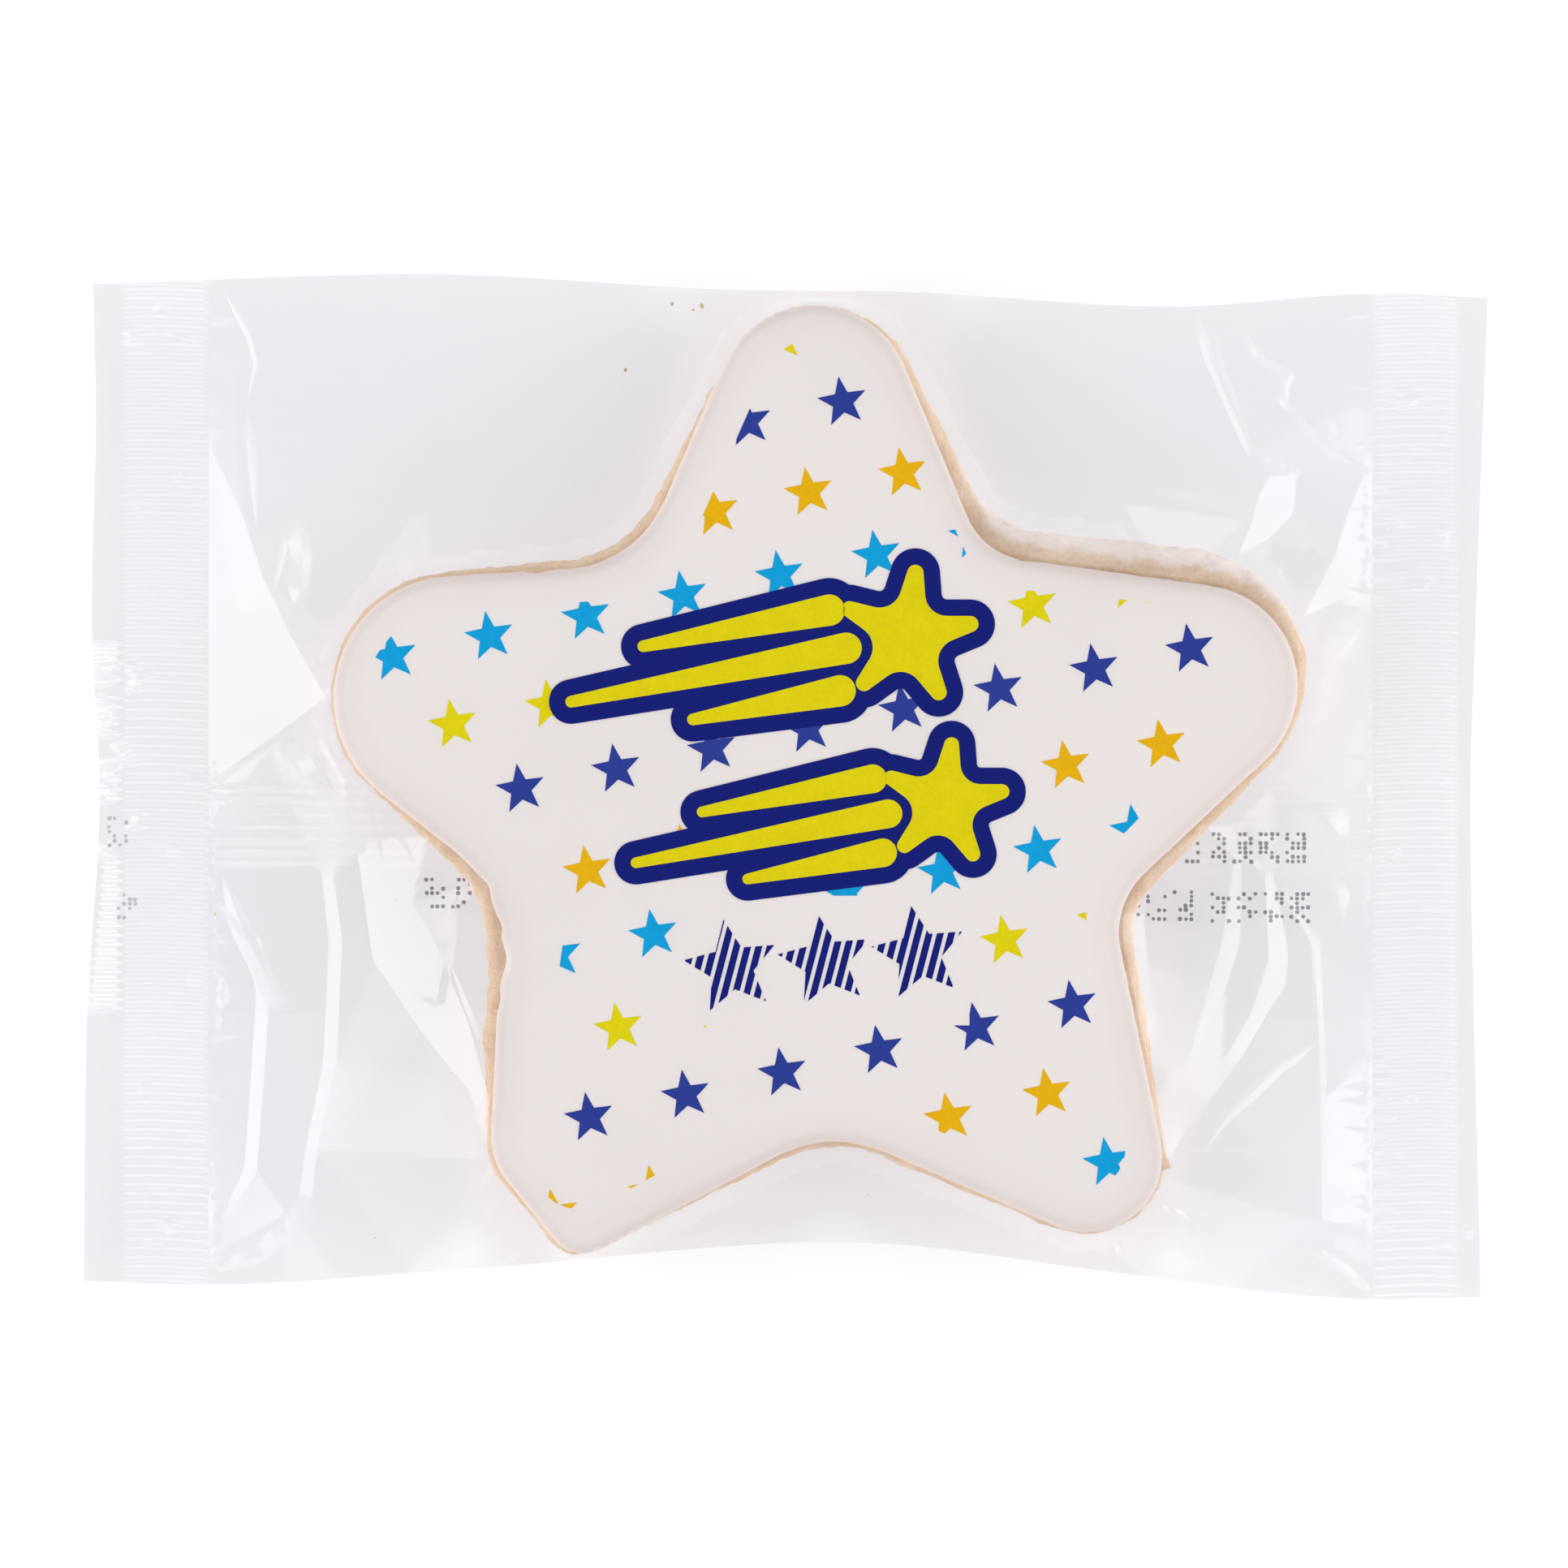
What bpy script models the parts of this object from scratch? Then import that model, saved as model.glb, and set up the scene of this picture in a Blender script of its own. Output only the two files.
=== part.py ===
"""Printed star cookie in its sealed clear bag, lying flat with the printed side up.

Metres, +Z up, +X along the bag's long side, origin under the middle of the bag.
The bag is one closed solid: clear film drawn tight over the cookie, shut at the
long sides by folds and at both ends by crimped seals.
"""
import bpy
import bmesh
import math
import numpy as np
from mathutils import Vector
from mathutils.geometry import delaunay_2d_cdt

MM = 0.001

# Heights, in millimetres
TOP_Z = 10.4            # film over the icing
FOLD_Z = 4.6            # side folds beside the cookie
SEAL_INNER_Z = 2.7      # crimped seals where the cookie's pouch ends
SEAL_OUTER_Z = 1.5      # crimped seals at the cut ends
SEAL_HALF = 0.3         # half the thickness given to film pressed on film
SEAL_WAVE = 0.5         # slow wave along each seal
SEAL_WAVE_LENGTH = 46.0
FOLD_RUN = (30.0, 60.0)  # distance from the middle over which the folds come down to the seals

# The bag's four edges: a smooth line through each row of knots (place along, place across)
TOP_EDGE = ((-73.1, 52.3), (-35.0, 53.2), (-5.0, 51.6), (12.0, 51.4), (41.0, 49.9), (62.0, 51.3), (73.1, 50.9))
BOTTOM_EDGE = ((-73.1, -51.4), (-60.0, -51.7), (-31.0, -49.8), (11.0, -47.4), (33.0, -50.2),
               (61.0, -53.2), (73.1, -53.0))
LEFT_EDGE = ((-54.0, -73.1), (-20.0, -72.5), (-0.8, -71.4), (15.0, -72.1), (40.0, -71.8), (54.0, -72.1))
RIGHT_EDGE = ((-54.0, 72.3), (-18.0, 71.5), (0.0, 71.2), (20.0, 71.9), (54.0, 73.1))
EDGE_STEP = 2.4

# The end seals: from the pouch's end to the plain strip beside the cut
LEFT_SEAL = (-60.0, -69.0)
RIGHT_SEAL = (61.0, 70.0)
RIB_PITCH = 0.95
RIB_HEIGHT = 0.15
RIB_START = 0.7

# The back seam's flap, folded flat under the bag, stands out where the film leaves the table
FLAP_LOW = -24.0
FLAP_HIGH = 0.6
FLAP_THICK = 0.35
FLAP_EDGE = 0.5

# The star cookie: rounds joined by straight sides, anticlockwise from the top arm.
# Each is its centre and its radius, and a notch between two arms has a negative radius.
# The icing sheet is smaller than the biscuit and lies a little low and left on it.
BISCUIT_ROUNDS = (
    (3.2, 39.5, 10.5),
    (-23.2, 34.1, -10.5),
    (-34.4, 9.5, 12.8),
    (-41.5, -16.1, -10.5),
    (-23.8, -36.2, 7.4),
    (-21.3, -44.0, 4.3),
    (5.1, -49.6, -12.3),
    (31.2, -38.2, 8.1),
    (42.8, -15.0, -6.7),
    (40.8, 11.6, 13.2),
    (26.8, 34.9, -8.4),
)
ICING_ROUNDS = (
    (2.9, 39.7, 10.2),
    (-23.2, 34.1, -11.5),
    (-34.2, 9.3, 12.6),
    (-41.5, -16.1, -11.9),
    (-23.4, -36.2, 7.1),
    (-21.3, -43.8, 4.1),
    (5.1, -49.6, -12.9),
    (30.6, -37.9, 7.7),
    (42.8, -15.0, -8.3),
    (42.5, 10.5, 10.5),
    (25.5, 30.7, -7.2),
)
STAR_STEP = 2.6
ROUND_STEP = math.radians(14.0)

# Folds in the tight film: two ends, height and half width of each ridge
CREASES = (
    ((-58.4, 34.7), (-51.4, 22.7), 0.7, 4.0),
    ((-51.4, 22.7), (-47.8, 6.3), 0.8, 4.5),
    ((-47.8, 6.3), (-58.8, 3.4), 0.6, 4.0),
    ((-50.0, -8.0), (-52.0, -46.0), 0.8, 5.0),
    ((43.5, 47.5), (50.3, 32.4), 0.7, 4.0),
    ((50.3, 32.4), (59.8, 26.0), 0.7, 4.0),
    ((59.8, 17.5), (54.0, 3.0), 0.7, 4.5),
    ((46.1, -8.0), (41.5, -31.0), 0.6, 3.5),
    ((54.6, -14.0), (56.3, -47.0), 0.9, 4.5),
)

GRID_STEP = 5.0         # spacing of the film's plain points
CLEARANCE = 1.5         # least distance from a plain point to a shaped one


def through(knots, places):
    """Smooth curve through hand-set knots, read at the given places."""
    place, value = np.array(knots).T
    slope = np.gradient(value, place)
    i = np.clip(np.searchsorted(place, places) - 1, 0, len(place) - 2)
    run = place[i + 1] - place[i]
    t = (places - place[i]) / run
    rise = value[i] + (3 * t**2 - 2 * t**3) * (value[i + 1] - value[i])
    return rise + run * ((t**3 - 2 * t**2 + t) * slope[i] + (t**3 - t**2) * slope[i + 1])


def smooth_step(low, high, x):
    t = np.clip((x - low) / (high - low), 0.0, 1.0)
    return t * t * (3.0 - 2.0 * t)


def edge_corner(level, side):
    """Where a long edge meets an end edge."""
    x = side[0][1]
    for _ in range(8):
        y = through(level, np.array([x]))[0]
        x = through(side, np.array([y]))[0]
    return x, y


def edge_run(start, stop, step):
    """Evenly spaced places from start up to, and without, stop."""
    count = max(2, round(abs(stop - start) / step))
    return np.linspace(start, stop, count, endpoint=False)


def bag_outline():
    """The bag's outline, anticlockwise from its lower left corner."""
    low_left = edge_corner(BOTTOM_EDGE, LEFT_EDGE)
    low_right = edge_corner(BOTTOM_EDGE, RIGHT_EDGE)
    high_right = edge_corner(TOP_EDGE, RIGHT_EDGE)
    high_left = edge_corner(TOP_EDGE, LEFT_EDGE)
    xs = edge_run(low_left[0], low_right[0], EDGE_STEP)
    points = list(zip(xs, through(BOTTOM_EDGE, xs)))
    ys = edge_run(low_right[1], high_right[1], EDGE_STEP)
    points += zip(through(RIGHT_EDGE, ys), ys)
    xs = edge_run(high_right[0], high_left[0], EDGE_STEP)
    points += zip(xs, through(TOP_EDGE, xs))
    ys = edge_run(high_left[1], low_left[1], EDGE_STEP)
    points += zip(through(LEFT_EDGE, ys), ys)
    return np.array(points)


def star_outline(star_rounds):
    """The outline of a star: its rounds, and the straight lines that touch each pair of them."""
    rounds = [(Vector((x, y)), radius) for x, y, radius in star_rounds]
    turns = []
    for (centre, radius), (next_centre, next_radius) in zip(rounds, rounds[1:] + rounds[:1]):
        apart = next_centre - centre
        lean = math.acos((radius - next_radius) / apart.length)
        turns.append(math.atan2(apart.y, apart.x) - lean)
    points = []
    for i, (centre, radius) in enumerate(rounds):
        first = turns[i - 1]
        sweep = (turns[i] - first + math.pi) % math.tau - math.pi
        steps = max(2, math.ceil(abs(sweep) / ROUND_STEP))
        arc = [first + sweep * k / steps for k in range(steps + 1)]
        points += [centre + radius * Vector((math.cos(a), math.sin(a))) for a in arc]
    return even_sides(points)


def even_sides(loop):
    """The same loop with its long straight sides split evenly."""
    points = []
    for here, there in zip(loop, loop[1:] + loop[:1]):
        count = max(1, round((there - here).length / STAR_STEP))
        points += [here.lerp(there, k / count) for k in range(count)]
    return np.array([tuple(p) for p in points])


def distance_to(points, starts, ends):
    """Distance from each point to the nearest of some straight lines."""
    along = ends - starts
    offset = points[:, None, :] - starts[None]
    t = np.clip((offset * along).sum(2) / np.maximum((along**2).sum(1), 1e-12), 0.0, 1.0)
    return np.sqrt(((offset - t[..., None] * along)**2).sum(2)).min(1)


def inside(points, loop):
    """Which points lie inside a closed loop."""
    start, end = loop, np.roll(loop, -1, axis=0)
    x, y = points[:, :1], points[:, 1:]
    spans = (start[:, 1] > y) != (end[:, 1] > y)
    rise = np.where(end[:, 1] == start[:, 1], 1e-12, end[:, 1] - start[:, 1])
    crosses = x < start[:, 0] + (y - start[:, 1]) * (end[:, 0] - start[:, 0]) / rise
    return (spans & crosses).sum(1) % 2 == 1


def outside_distance(points, loop):
    """Distance outside a closed loop, and nothing inside it."""
    away = distance_to(points, loop, np.roll(loop, -1, axis=0))
    return np.where(inside(points, loop), 0.0, away)


def edge_height(points):
    """Height of the middle of the film's two layers at the folds and seals."""
    x, y = points.T
    outward = np.abs(x)
    seal = np.interp(outward, (LEFT_SEAL[0] * -1, LEFT_SEAL[1] * -1), (SEAL_INNER_Z, SEAL_OUTER_Z))
    wave = SEAL_WAVE * np.sin(math.tau * y / SEAL_WAVE_LENGTH + np.sign(x))
    at_end = smooth_step(*FOLD_RUN, outward)
    return FOLD_Z + (seal + wave - FOLD_Z) * at_end


def rib_height(points):
    """Crimp ribs: every second row of points stands up."""
    x, y = points.T
    ribbed = np.zeros(len(points), bool)
    for inner, outer in (LEFT_SEAL, RIGHT_SEAL):
        outward = np.sign(inner) * x
        ribbed |= (outward > abs(inner) + RIB_START - 0.01) & (outward < abs(outer) + 0.01)
    return np.where(ribbed, RIB_HEIGHT * np.cos(math.tau * y / RIB_PITCH), 0.0)


def crease_height(points):
    """Ridges of the folds in the tight film."""
    height = np.zeros(len(points))
    for start, end, rise, half_width in CREASES:
        away = distance_to(points, np.array([start]), np.array([end]))
        height = np.maximum(height, rise * np.clip(1.0 - away / half_width, 0.0, 1.0))
    return height


def film_heights(points, outline, icing, biscuit):
    """Heights of the upper and the lower film over each point."""
    pouch = np.clip(outline, (LEFT_SEAL[0], -np.inf), (RIGHT_SEAL[0], np.inf))
    to_edge = distance_to(points, pouch, np.roll(pouch, -1, axis=0))
    in_pouch = (points[:, 0] > LEFT_SEAL[0] + 0.01) & (points[:, 0] < RIGHT_SEAL[0] - 0.01)
    to_edge = np.where(in_pouch, to_edge, 0.0)
    out_icing = outside_distance(points, icing)
    out_biscuit = outside_distance(points, biscuit)
    down = out_icing / np.maximum(out_icing + to_edge, 1e-9)
    up = out_biscuit / np.maximum(out_biscuit + to_edge, 1e-9)
    middle = edge_height(points) + rib_height(points)
    over = middle + SEAL_HALF + (TOP_Z - middle - SEAL_HALF) * (1.0 - down)
    over += crease_height(points) * np.clip(4.0 * down * (1.0 - down), 0.0, 1.0)
    flap = smooth_step(FLAP_LOW - FLAP_EDGE, FLAP_LOW, points[:, 1])
    flap *= 1.0 - smooth_step(FLAP_HIGH, FLAP_HIGH + FLAP_EDGE, points[:, 1])
    flap *= np.where(in_pouch, 1.0, 0.0)
    under = (middle - SEAL_HALF) * up**1.6
    under = np.maximum(under - FLAP_THICK * flap * smooth_step(0.0, 0.5, under), 0.0)
    return over, under


def rib_rows(x, outline):
    """Places along a seal, half a rib apart, that stay inside the bag."""
    low = through(BOTTOM_EDGE, np.array([x]))[0]
    high = through(TOP_EDGE, np.array([x]))[0]
    half = RIB_PITCH / 2.0
    first = math.ceil((low + half) / half)
    last = math.floor((high - half) / half)
    return [half * k for k in range(first, last + 1)]


class FilmPlan:
    """The flat plan of the film: points, and lines that faces must follow."""

    def __init__(self):
        self.points = []
        self.lines = []

    def line(self, points, closed=False):
        first = len(self.points)
        self.points += [tuple(p) for p in points]
        count = len(points)
        for k in range(count if closed else count - 1):
            self.lines.append((first + k, first + (k + 1) % count))

    def fill(self, outline):
        """Plain points between the shaped ones."""
        xs = np.arange(LEFT_SEAL[0] + GRID_STEP, RIGHT_SEAL[0] - 1.0, GRID_STEP)
        ys = np.arange(-50.0, 50.1, GRID_STEP)
        spots = np.array([(x + GRID_STEP / 2 * (row % 2), y) for row, y in enumerate(ys) for x in xs])
        shaped = np.array(self.points)
        clear = np.sqrt(((spots[:, None] - shaped[None])**2).sum(2)).min(1) > CLEARANCE
        keep = clear & inside(spots, outline)
        self.points += [tuple(p) for p in spots[keep]]


def split_line(start, end, step):
    count = max(1, round(math.dist(start, end) / step))
    return [tuple(np.array(start) + (np.array(end) - np.array(start)) * k / count) for k in range(count + 1)]


def plan_film(outline, icing, biscuit):
    plan = FilmPlan()
    plan.line(outline, closed=True)
    plan.line(icing, closed=True)
    plan.line(biscuit, closed=True)
    for start, end, _rise, _half in CREASES:
        plan.line(split_line(start, end, GRID_STEP / 2))
    for inner, outer in (LEFT_SEAL, RIGHT_SEAL):
        side = math.copysign(1.0, inner)
        rows = rib_rows(outer, outline)
        plan.line(split_line((inner, rows[0]), (inner, rows[-1]), EDGE_STEP))
        for y in rows:
            plan.line(((inner + side * RIB_START, y), (outer, y)))
    for y in (FLAP_LOW - FLAP_EDGE, FLAP_LOW, FLAP_HIGH, FLAP_HIGH + FLAP_EDGE):
        for near, far in ((LEFT_SEAL[0] + 0.5, -48.0), (50.0, RIGHT_SEAL[0] - 0.5)):
            plan.line(split_line((near, y), (far, y), GRID_STEP / 2))
    plan.fill(outline)
    return plan


def bag_mesh():
    """Upper film, lower film and the wall of pressed film between them, as one body."""
    outline = bag_outline()
    icing = star_outline(ICING_ROUNDS)
    biscuit = star_outline(BISCUIT_ROUNDS)
    plan = plan_film(outline, icing, biscuit)
    flat = [Vector(p) for p in plan.points]
    points, _lines, faces, *_origins = delaunay_2d_cdt(flat, plan.lines, [], 1, 1e-4)
    places = np.array([tuple(p) for p in points])
    over, under = film_heights(places, outline, icing, biscuit)
    mesh = bmesh.new()
    upper = [mesh.verts.new((x * MM, y * MM, z * MM)) for (x, y), z in zip(places, over)]
    lower = [mesh.verts.new((x * MM, y * MM, z * MM)) for (x, y), z in zip(places, under)]
    sides = {}
    for a, b, c in faces:
        mesh.faces.new((upper[a], upper[b], upper[c]))
        mesh.faces.new((lower[c], lower[b], lower[a]))
        for side in ((a, b), (b, c), (c, a)):
            sides[side] = True
    for a, b in sides:
        if (b, a) not in sides:
            mesh.faces.new((upper[b], upper[a], lower[a], lower[b]))
    bmesh.ops.recalc_face_normals(mesh, faces=mesh.faces)
    return mesh


def film_material():
    material = bpy.data.materials.new("clear_film")
    material.use_nodes = True
    shader = material.node_tree.nodes["Principled BSDF"]
    shader.inputs["Base Color"].default_value = (0.84, 0.80, 0.77, 1.0)
    shader.inputs["Roughness"].default_value = 0.25
    shader.inputs["Metallic"].default_value = 0.0
    return material


def build_bag():
    mesh = bag_mesh()
    data = bpy.data.meshes.new("sealed_bag")
    mesh.to_mesh(data)
    mesh.free()
    data.materials.append(film_material())
    bag = bpy.data.objects.new("sealed_bag", data)
    bpy.context.scene.collection.objects.link(bag)
    return bag


for old in list(bpy.data.objects):
    bpy.data.objects.remove(old)
build_bag()
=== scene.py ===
import math
import random

import bpy
import numpy as np
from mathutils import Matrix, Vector
from mathutils.geometry import delaunay_2d_cdt


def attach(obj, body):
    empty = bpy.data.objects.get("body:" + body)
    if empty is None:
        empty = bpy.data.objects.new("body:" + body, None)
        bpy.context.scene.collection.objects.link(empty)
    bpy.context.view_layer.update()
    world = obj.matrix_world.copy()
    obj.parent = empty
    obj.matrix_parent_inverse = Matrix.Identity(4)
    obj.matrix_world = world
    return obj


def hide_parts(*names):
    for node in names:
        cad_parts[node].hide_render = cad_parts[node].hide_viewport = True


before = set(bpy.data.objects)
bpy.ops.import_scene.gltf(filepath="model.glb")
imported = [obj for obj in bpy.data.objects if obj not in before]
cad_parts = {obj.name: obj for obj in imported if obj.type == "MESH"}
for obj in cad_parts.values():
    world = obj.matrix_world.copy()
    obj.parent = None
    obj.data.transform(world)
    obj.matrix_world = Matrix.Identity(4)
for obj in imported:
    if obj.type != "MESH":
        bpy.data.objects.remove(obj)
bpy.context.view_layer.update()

# All shapes are worked out in millimetres and set in the frame's metres
MM = 0.001

# The bag, as the frame has it
TOP_Z = 10.4
FOLD_Z = 4.6
SEAL_INNER_Z = 2.7
SEAL_OUTER_Z = 1.5
SEAL_WAVE = 0.5
SEAL_WAVE_LENGTH = 46.0
FOLD_RUN = (30.0, 60.0)
TOP_EDGE = ((-73.1, 52.3), (-35.0, 53.2), (-5.0, 51.6), (12.0, 51.4), (41.0, 49.9), (62.0, 51.3), (73.1, 50.9))
BOTTOM_EDGE = ((-73.1, -51.4), (-60.0, -51.7), (-31.0, -49.8), (11.0, -47.4), (33.0, -50.2),
               (61.0, -53.2), (73.1, -53.0))
LEFT_EDGE = ((-54.0, -73.1), (-20.0, -72.5), (-0.8, -71.4), (15.0, -72.1), (40.0, -71.8), (54.0, -72.1))
RIGHT_EDGE = ((-54.0, 72.3), (-18.0, 71.5), (0.0, 71.2), (20.0, 71.9), (54.0, 73.1))
LEFT_SEAL = (-60.0, -69.0)
RIGHT_SEAL = (61.0, 70.0)
RIB_PITCH = 0.95
RIB_DEPTH = 0.100
SEAL_THICK = 0.08

# The cookie: rounds joined by straight sides, anticlockwise from the top arm.
# Each is its centre and its radius, and a notch between two arms has a negative radius.
BISCUIT_ROUNDS = (
    (3.2, 39.5, 10.5),
    (-23.2, 34.1, -10.5),
    (-34.4, 9.5, 12.8),
    (-41.5, -16.1, -10.5),
    (-23.8, -36.2, 7.4),
    (-21.3, -44.0, 4.3),
    (5.1, -49.6, -12.3),
    (31.2, -38.2, 8.1),
    (42.8, -15.0, -6.7),
    (40.8, 11.6, 13.2),
    (26.8, 34.9, -8.4),
)
ICING_ROUNDS = (
    (2.9, 39.7, 10.2),
    (-23.2, 34.1, -11.5),
    (-34.2, 9.3, 12.6),
    (-41.5, -16.1, -11.9),
    (-23.4, -36.2, 7.1),
    (-20.9, -44.3, 4.0),
    (5.1, -49.6, -12.9),
    (31.1, -38.2, 7.9),
    (42.8, -15.0, -8.3),
    (42.5, 10.5, 10.5),
    (25.5, 30.7, -7.2),
)
BISCUIT_LOW = 0.35
BISCUIT_TOP = 8.4
ICING_TOP = 10.1
BISCUIT_EDGE_ROUND = 1.6
ICING_EDGE_ROUND = 1.0
BISCUIT_VOXEL = 0.62
ICING_VOXEL = 0.55
# The biscuit's unevenness: its textures, their size and how far they push
BISCUIT_LUMPS = (("biscuit_lumps", 4.5, 0.7), ("biscuit_crumb", 1.3, 0.6))

# The printed confetti: rows of five-point stars, each its ink, its first star's place,
# the step from star to star and how many there are
CONFETTI_ROWS = (
    ("yellow", (-0.65, 46.45), (9.9, 2.1), 1),
    ("indigo", (-3.96, 37.72), (9.85, 2.10), 2),
    ("orange", (-7.33, 28.46), (9.73, 2.02), 3),
    ("cyan", (-40.60, 13.50), (10.00, 2.10), 7),
    ("yellow", (-34.35, 6.50), (9.98, 2.05), 8),
    ("indigo", (-27.36, -0.17), (9.88, 2.07), 8),
    ("orange", (-20.46, -8.59), (9.89, 2.17), 7),
    ("cyan", (-23.58, -17.35), (9.94, 2.17), 7),
    ("yellow", (-17.26, -24.84), (9.98, 2.26), 6),
    ("indigo", (-20.29, -34.10), (9.99, 2.32), 6),
    ("orange", (-23.91, -44.12), (10.19, 2.50), 7),
    ("cyan", (33.26, -38.73), (9.9, 2.1), 1),
)
CONFETTI_RADIUS = 2.66
CONFETTI_INNER = 0.42
CONFETTI_TIP = math.radians(99.5)
PRINT_ANGLE = 30
# The printed area is a star of its own, a little off the icing's
PRINT_ROUNDS = (
    (4.0, 40.0, 6.7),
    (-17.2, 26.8, -7.4),
    (-34.2, 9.0, 9.3),
    (-31.0, -15.5, -8.0),
    (-21.2, -38.6, 5.0),
    (4.4, -38.2, -7.0),
    (30.8, -37.3, 4.3),
    (32.4, -30.4, 2.6),
    (41.0, -14.3, -9.9),
    (37.5, -11.5, -6.5),
    (39.2, 11.0, 7.9),
    (24.6, 27.0, -6.6),
)
INK_THICK = 0.03
INK_SUNK = 0.1
# Cut-outs stand between these heights until they are laid on the icing
CUT_LOW = 9.0
CUT_HIGH = 11.0
CLEAR_PANEL = ((-11.0, -24.6), (19.0, -11.2))

# Steps of the fine meshes
STAR_STEP = 1.6
PRINT_STEP = 0.7
ROUND_STEP = math.radians(7.0)


def through(knots, places):
    """Smooth curve through listed knots, read at the given places."""
    place, value = np.array(knots).T
    slope = np.gradient(value, place)
    i = np.clip(np.searchsorted(place, places) - 1, 0, len(place) - 2)
    run = place[i + 1] - place[i]
    t = (places - place[i]) / run
    rise = value[i] + (3 * t**2 - 2 * t**3) * (value[i + 1] - value[i])
    return rise + run * ((t**3 - 2 * t**2 + t) * slope[i] + (t**3 - t**2) * slope[i + 1])


def smooth_step(low, high, x):
    t = np.clip((x - low) / (high - low), 0.0, 1.0)
    return t * t * (3.0 - 2.0 * t)


def between(low, high, soft, x):
    """One between two places and nothing outside them, with soft ends."""
    return smooth_step(low - soft, low + soft, x) * (1.0 - smooth_step(high - soft, high + soft, x))


def rounded_outline(rounds, step=STAR_STEP):
    """An outline of rounds, and the straight lines that touch each pair of them."""
    rounds = [(Vector((x, y)), radius) for x, y, radius in rounds]
    turns = []
    for (centre, radius), (next_centre, next_radius) in zip(rounds, rounds[1:] + rounds[:1]):
        apart = next_centre - centre
        lean = math.acos((radius - next_radius) / apart.length)
        turns.append(math.atan2(apart.y, apart.x) - lean)
    corners = []
    for i, (centre, radius) in enumerate(rounds):
        first = turns[i - 1]
        sweep = (turns[i] - first) % math.tau if radius > 0 else -((first - turns[i]) % math.tau)
        count = max(2, math.ceil(abs(sweep) / ROUND_STEP))
        arc = [first + sweep * k / count for k in range(count + 1)]
        corners += [centre + radius * Vector((math.cos(a), math.sin(a))) for a in arc]
    points = []
    for here, there in zip(corners, corners[1:] + corners[:1]):
        count = max(1, round((there - here).length / step))
        points += [here.lerp(there, k / count) for k in range(count)]
    return np.array([tuple(p) for p in points])


def grown(rounds, by):
    """The same rounds for an outline that lies further out."""
    return [(x, y, radius + by) for x, y, radius in rounds]


def distance_to(points, starts, ends):
    """Distance from each point to the nearest of some straight lines."""
    nearest = np.full(len(points), np.inf)
    for start, end in zip(starts, ends):
        along = end - start
        offset = points - start
        t = np.clip(offset @ along / max(along @ along, 1e-12), 0.0, 1.0)
        nearest = np.minimum(nearest, ((offset - t[:, None] * along)**2).sum(1))
    return np.sqrt(nearest)


def distance_to_loop(points, loop):
    """Distance from each point to a closed loop, inside it or out."""
    return distance_to(points, loop, np.roll(loop, -1, axis=0))


def inside(points, loop):
    """Which points lie inside a closed loop."""
    x, y = points.T
    crossings = np.zeros(len(points), int)
    for (ax, ay), (bx, by) in zip(loop, np.roll(loop, -1, axis=0)):
        if ay != by:
            crossings += ((ay > y) != (by > y)) & (x < ax + (y - ay) * (bx - ax) / (by - ay))
    return crossings % 2 == 1


def signed_distance(points, loop):
    """Distance to a closed loop, below nothing inside it."""
    away = distance_to_loop(points, loop)
    return np.where(inside(points, loop), -away, away)


def outside_distance(points, loop):
    """Distance outside a closed loop, and nothing inside it."""
    return np.maximum(signed_distance(points, loop), 0.0)


# Making and finishing pieces

def only(piece):
    """Selects one object alone."""
    bpy.ops.object.select_all(action="DESELECT")
    piece.select_set(True)
    bpy.context.view_layer.objects.active = piece


def set_points(piece, points):
    """Sets a mesh's points, given in millimetres."""
    piece.data.vertices.foreach_set("co", np.asarray(points, float).ravel() * MM)
    piece.data.update()


def get_points(piece):
    """A mesh's points, in millimetres."""
    points = np.empty(len(piece.data.vertices) * 3)
    piece.data.vertices.foreach_get("co", points)
    return points.reshape(-1, 3) / MM


def shape_with(piece, kind, **settings):
    """Adds a modifier and applies it."""
    only(piece)
    modifier = piece.modifiers.new(kind.lower(), kind)
    for name, value in settings.items():
        setattr(modifier, name, value)
    bpy.ops.object.modifier_apply(modifier=modifier.name)


def joined(pieces, name):
    """Several objects made one."""
    bpy.ops.object.select_all(action="DESELECT")
    for piece in pieces:
        piece.select_set(True)
    bpy.context.view_layer.objects.active = pieces[0]
    if len(pieces) > 1:
        bpy.ops.object.join()
    pieces[0].name = name
    pieces[0].data.name = name
    return pieces[0]


def plate(name, outline, low, high):
    """A flat plate: a circle whose points are set on the outline, then extruded up."""
    bpy.ops.object.select_all(action="DESELECT")
    bpy.ops.mesh.primitive_circle_add(vertices=len(outline), radius=MM, fill_type="NGON")
    piece = bpy.context.object
    piece.name = name
    piece.data.name = name
    set_points(piece, [(x, y, low) for x, y in outline])
    bpy.ops.object.mode_set(mode="EDIT")
    bpy.ops.mesh.select_all(action="SELECT")
    bpy.ops.mesh.extrude_region_move(TRANSFORM_OT_translate={"value": (0.0, 0.0, (high - low) * MM)})
    bpy.ops.mesh.select_all(action="SELECT")
    bpy.ops.mesh.normals_make_consistent(inside=False)
    bpy.ops.object.mode_set(mode="OBJECT")
    return piece


def select_level_rim(piece, level):
    """Selects the edges that run round a plate at one height."""
    data = piece.data
    for polygon in data.polygons:
        polygon.select = False
    for vertex in data.vertices:
        vertex.select = False
    for edge in data.edges:
        edge.select = all(abs(data.vertices[v].co.z / MM - level) < 0.01 for v in edge.vertices)


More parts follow.
